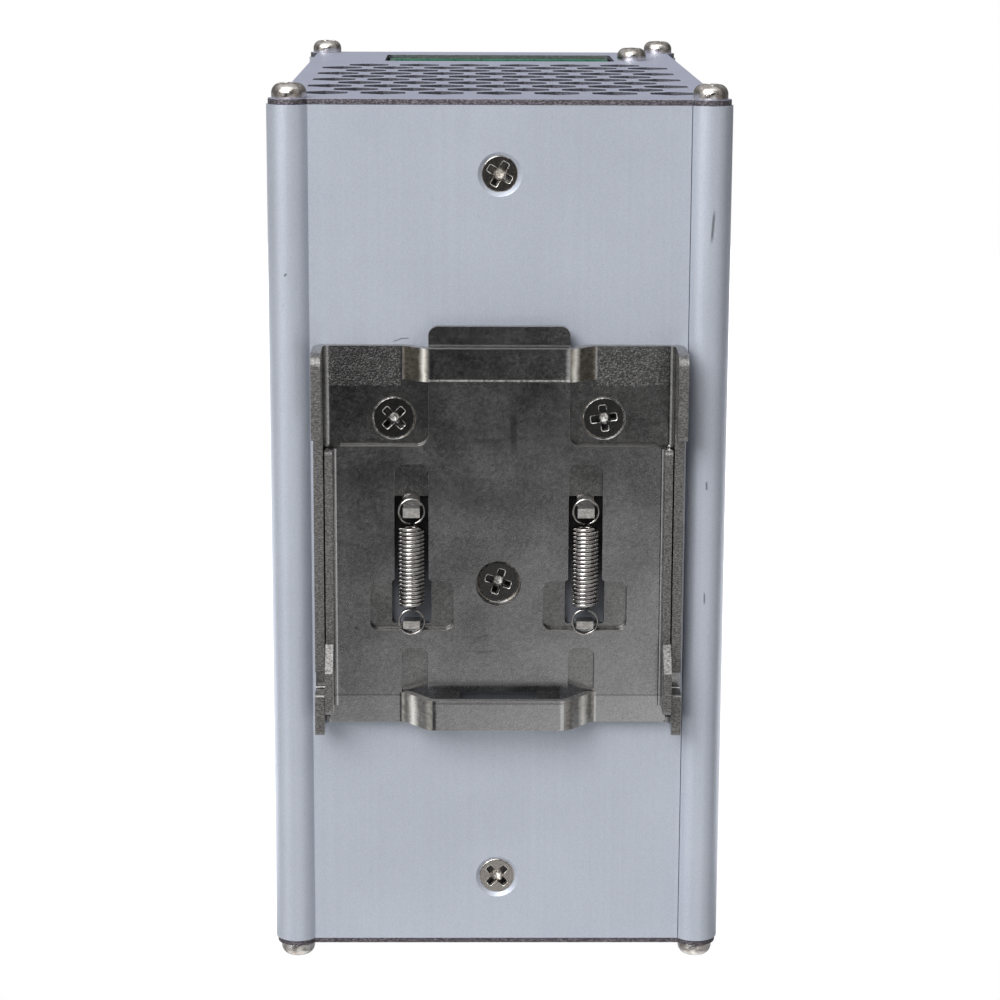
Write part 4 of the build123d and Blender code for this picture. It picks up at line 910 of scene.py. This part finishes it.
def clear(name, colour, alpha, rough):
    """Clear film, glass or plastic with a slight haze."""
    finish = Finish(name, colour, Alpha=alpha)
    haze = finish.noise(3, 2)
    finish.feed("Roughness", haze * 0.15 + rough)
    finish.bump(haze, 0.02)
    return finish.material


can_sleeve = sleeved_can("can_sleeve", (42.0, 25.0))
tape_yellow = wound_tape("tape_yellow", (0.72, 0.50, 0.10), (0.62, 0.42, 0.08))
copper_wire = plated("copper_wire", (0.62, 0.22, 0.09), (0.45, 0.14, 0.05), 0.3, 0.03)
film_clear = clear("film_clear", (0.80, 0.78, 0.70), 0.75, 0.25)
fuse_glass = clear("fuse_glass", (0.80, 0.84, 0.83), 0.6, 0.08)
pipe_clear = clear("pipe_clear", (0.88, 0.92, 0.90), 0.55, 0.08)
print("cans, tape, wire and clear parts")

# %% [markdown]
# Most inside pieces already have the right shape, so they keep their measured mesh and only
# take a finish.
# %% Finishes on the inside pieces
inside_finishes = {
    board_green: ("main_board", "control_board", "output_board", "input_board", "front_board"),
    moulding_black: ("power_transistors", "bridge_rectifier", "optocouplers", "control_chips",
                     "transformer_bobbin", "boost_choke_bobbin"),
    ferrite_grey: ("transformer_core", "boost_choke_core", "filter_choke_core"),
    powder_core: ("output_choke_core",),
    copper_wire: ("boost_choke_winding", "filter_choke_winding", "output_choke_winding"),
    tape_yellow: ("transformer_winding",),
    can_sleeve: ("bulk_capacitors", "output_capacitors"),
    film_yellow: ("film_capacitors",),
    disc_blue: ("disc_capacitors", "varistor"),
    relay_blue: ("inrush_relay",),
    fuse_glass: ("input_fuse",),
    zinc_plate: ("fuse_clips", "device_clamps", "terminal_brackets"),
    bright_nickel: ("clamp_screws",),
    milled_bar: ("heat_spreader",),
    pad_grey: ("thermal_pads",),
    film_clear: ("insulation_sheet",),
    tinned_pin: ("output_pins", "input_pins"),
    lamp_green: ("status_led",),
    pipe_clear: ("light_pipe",),
    trimmer_blue: ("trimmer_body",),
    rotor_white: ("trimmer_rotor",),
}
for material, names in inside_finishes.items():
    for node in names:
        mesh = nodes[node].data
        mesh.materials.clear()
        mesh.materials.append(material)
print("finished", sum(map(len, inside_finishes.values())), "inside pieces")

# %% [markdown]
# The two connector housings show in the covers' cut-outs, so their edges are softened like
# the metal ones.
# %% Connector housings
for node in ("output_header", "input_header"):
    housing = merged_copy(node, node.replace("header", "socket"))
    bevelled(housing, 0.12, [header_green], 0)
    finish_piece(housing, "case", "header_plastic", node)

# %% [markdown]
# ## Floor, light and camera
# The supply stands on a pale table in a white room. The table's far edge fades out, so the
# picture ends in plain white. Nickel shows what is in front of it, and in a studio that is
# a bright table top and, beyond it, the dark space round the camera. So the room is bright
# at the sides and above, and dim towards the viewer.
# %% Floor
def soft_floor(middle, clear_radius, gone_radius):
    """Large pale square whose cover fades away between two distances from its middle."""
    bpy.ops.mesh.primitive_plane_add(size=4.0)
    floor = bpy.context.object
    floor.name = "white_table"
    finish = Finish("table_white", (0.92, 0.92, 0.93), Roughness=0.6, Emission_Strength=0.75)
    paper = finish.blend(finish.noise(0.8, 2), (0.92, 0.92, 0.93), (0.95, 0.95, 0.955))
    finish.feed("Base Color", paper).feed("Emission Color", paper)
    away = finish.node("ShaderNodeVectorMath", {"operation": "DISTANCE"},
                       {0: finish.place(), 1: middle}, "Value")
    finish.feed("Alpha", finish.step(away, gone_radius, clear_radius))
    floor.data.materials.append(finish.material)
    return floor


soft_floor(middle=(0, 420, 0), clear_radius=430, gone_radius=492)

# %% [markdown]
# The room is a sum of soft patches over the direction that a ray leaves in: bright sides and
# ceiling, two tall strips, a lamp overhead, and darkness straight ahead that lifts towards
# the floor. Only reflections and soft light come from it, since the camera sees plain white.
# A wide sun from the upper left gives the shadows their direction.
# %% Room light
def room(side, above, front, low_front, strips, seen):
    """White room: brightness at the sides, above, ahead, low down, of two strips, and as seen."""
    world = bpy.data.worlds.new("studio room")
    bpy.context.scene.world = world
    world.use_nodes = True
    tree = Nodes(world.node_tree)
    way = tree.node("ShaderNodeTexCoord", {}, {}, "Generated")
    x, y, z = (tree.node("ShaderNodeSeparateXYZ", {}, {0: way}, axis) for axis in range(3))
    ahead = tree.step(y, -0.62, -0.95) * tree.step(z, 0.55, 0.2)
    sideways = tree.size(x)
    strip = tree.inside(sideways, 0.5, 0.93, 0.08) * tree.inside(z, -0.45, 0.55, 0.05)
    strip = strip * tree.step(y, 0.1, -0.1) * strips
    lamp = tree.inside(z, 0.74, 0.95, 0.04) * tree.step(y, 0.0, -0.15) * 1.3
    light = side + tree.step(z, 0.2, 0.8) * (above - side) + strip + lamp
    light = light + tree.step(z, -0.62, -0.85) * low_front
    light = light * (1 - tree.step(x, -0.2, 0.8) * 0.55) * (1 - tree.step(x, -0.5, -1.0) * 0.35)
    viewer = front + tree.step(z - x * 0.5, -0.205, -0.39) * low_front
    light = light * (1 - ahead) + ahead * viewer
    direct = tree.node("ShaderNodeLightPath", {}, {}, "Is Camera Ray")
    strength = direct * seen + (1 - direct) * light
    background = tree.tree.nodes["Background"]
    background.inputs["Color"].default_value = (1, 1, 1, 1)
    tree.tree.links.new(strength.socket, background.inputs["Strength"])
    return world


room(side=0.22, above=0.6, front=0.003, low_front=0.9, strips=0.62, seen=1.0)
key = bpy.data.lights.new("soft key", "SUN")
key.energy = 2.9
key.angle = radians(38)
lamp = bpy.data.objects.new("soft key", key)
bpy.context.scene.collection.objects.link(lamp)
lamp.rotation_euler = Vector((0.45, 0.87, -0.62)).to_track_quat("-Z", "Y").to_euler()

# %% [markdown]
# The camera stands 0.43 m from the rear wall, a little above it, with a long lens. Its
# direction is given as a pitch below the horizon, a small turn and a smaller tilt.
# %% Camera
def camera(place, pitch, yaw, tilt, lens):
    forward = Vector((sin(yaw) * cos(pitch), cos(yaw) * cos(pitch), -sin(pitch)))
    right = Vector((cos(yaw), -sin(yaw), 0))
    above = right.cross(forward)
    side = right * cos(tilt) + above * sin(tilt)
    above = above * cos(tilt) - right * sin(tilt)
    view = bpy.data.cameras.new("studio view")
    view.sensor_width = 36
    view.lens = lens
    view.clip_start = 0.01
    obj = bpy.data.objects.new("studio view", view)
    bpy.context.scene.collection.objects.link(obj)
    turn = Matrix((side, above, -forward)).transposed().to_4x4()
    obj.matrix_world = Matrix.Translation(place) @ turn
    bpy.context.scene.camera = obj
    return obj


camera(place=(-0.00527, -0.49297, 0.16969), pitch=0.2129, yaw=0.0127, tilt=0.0043, lens=101.87)
bpy.context.scene.view_settings.view_transform = "Standard"
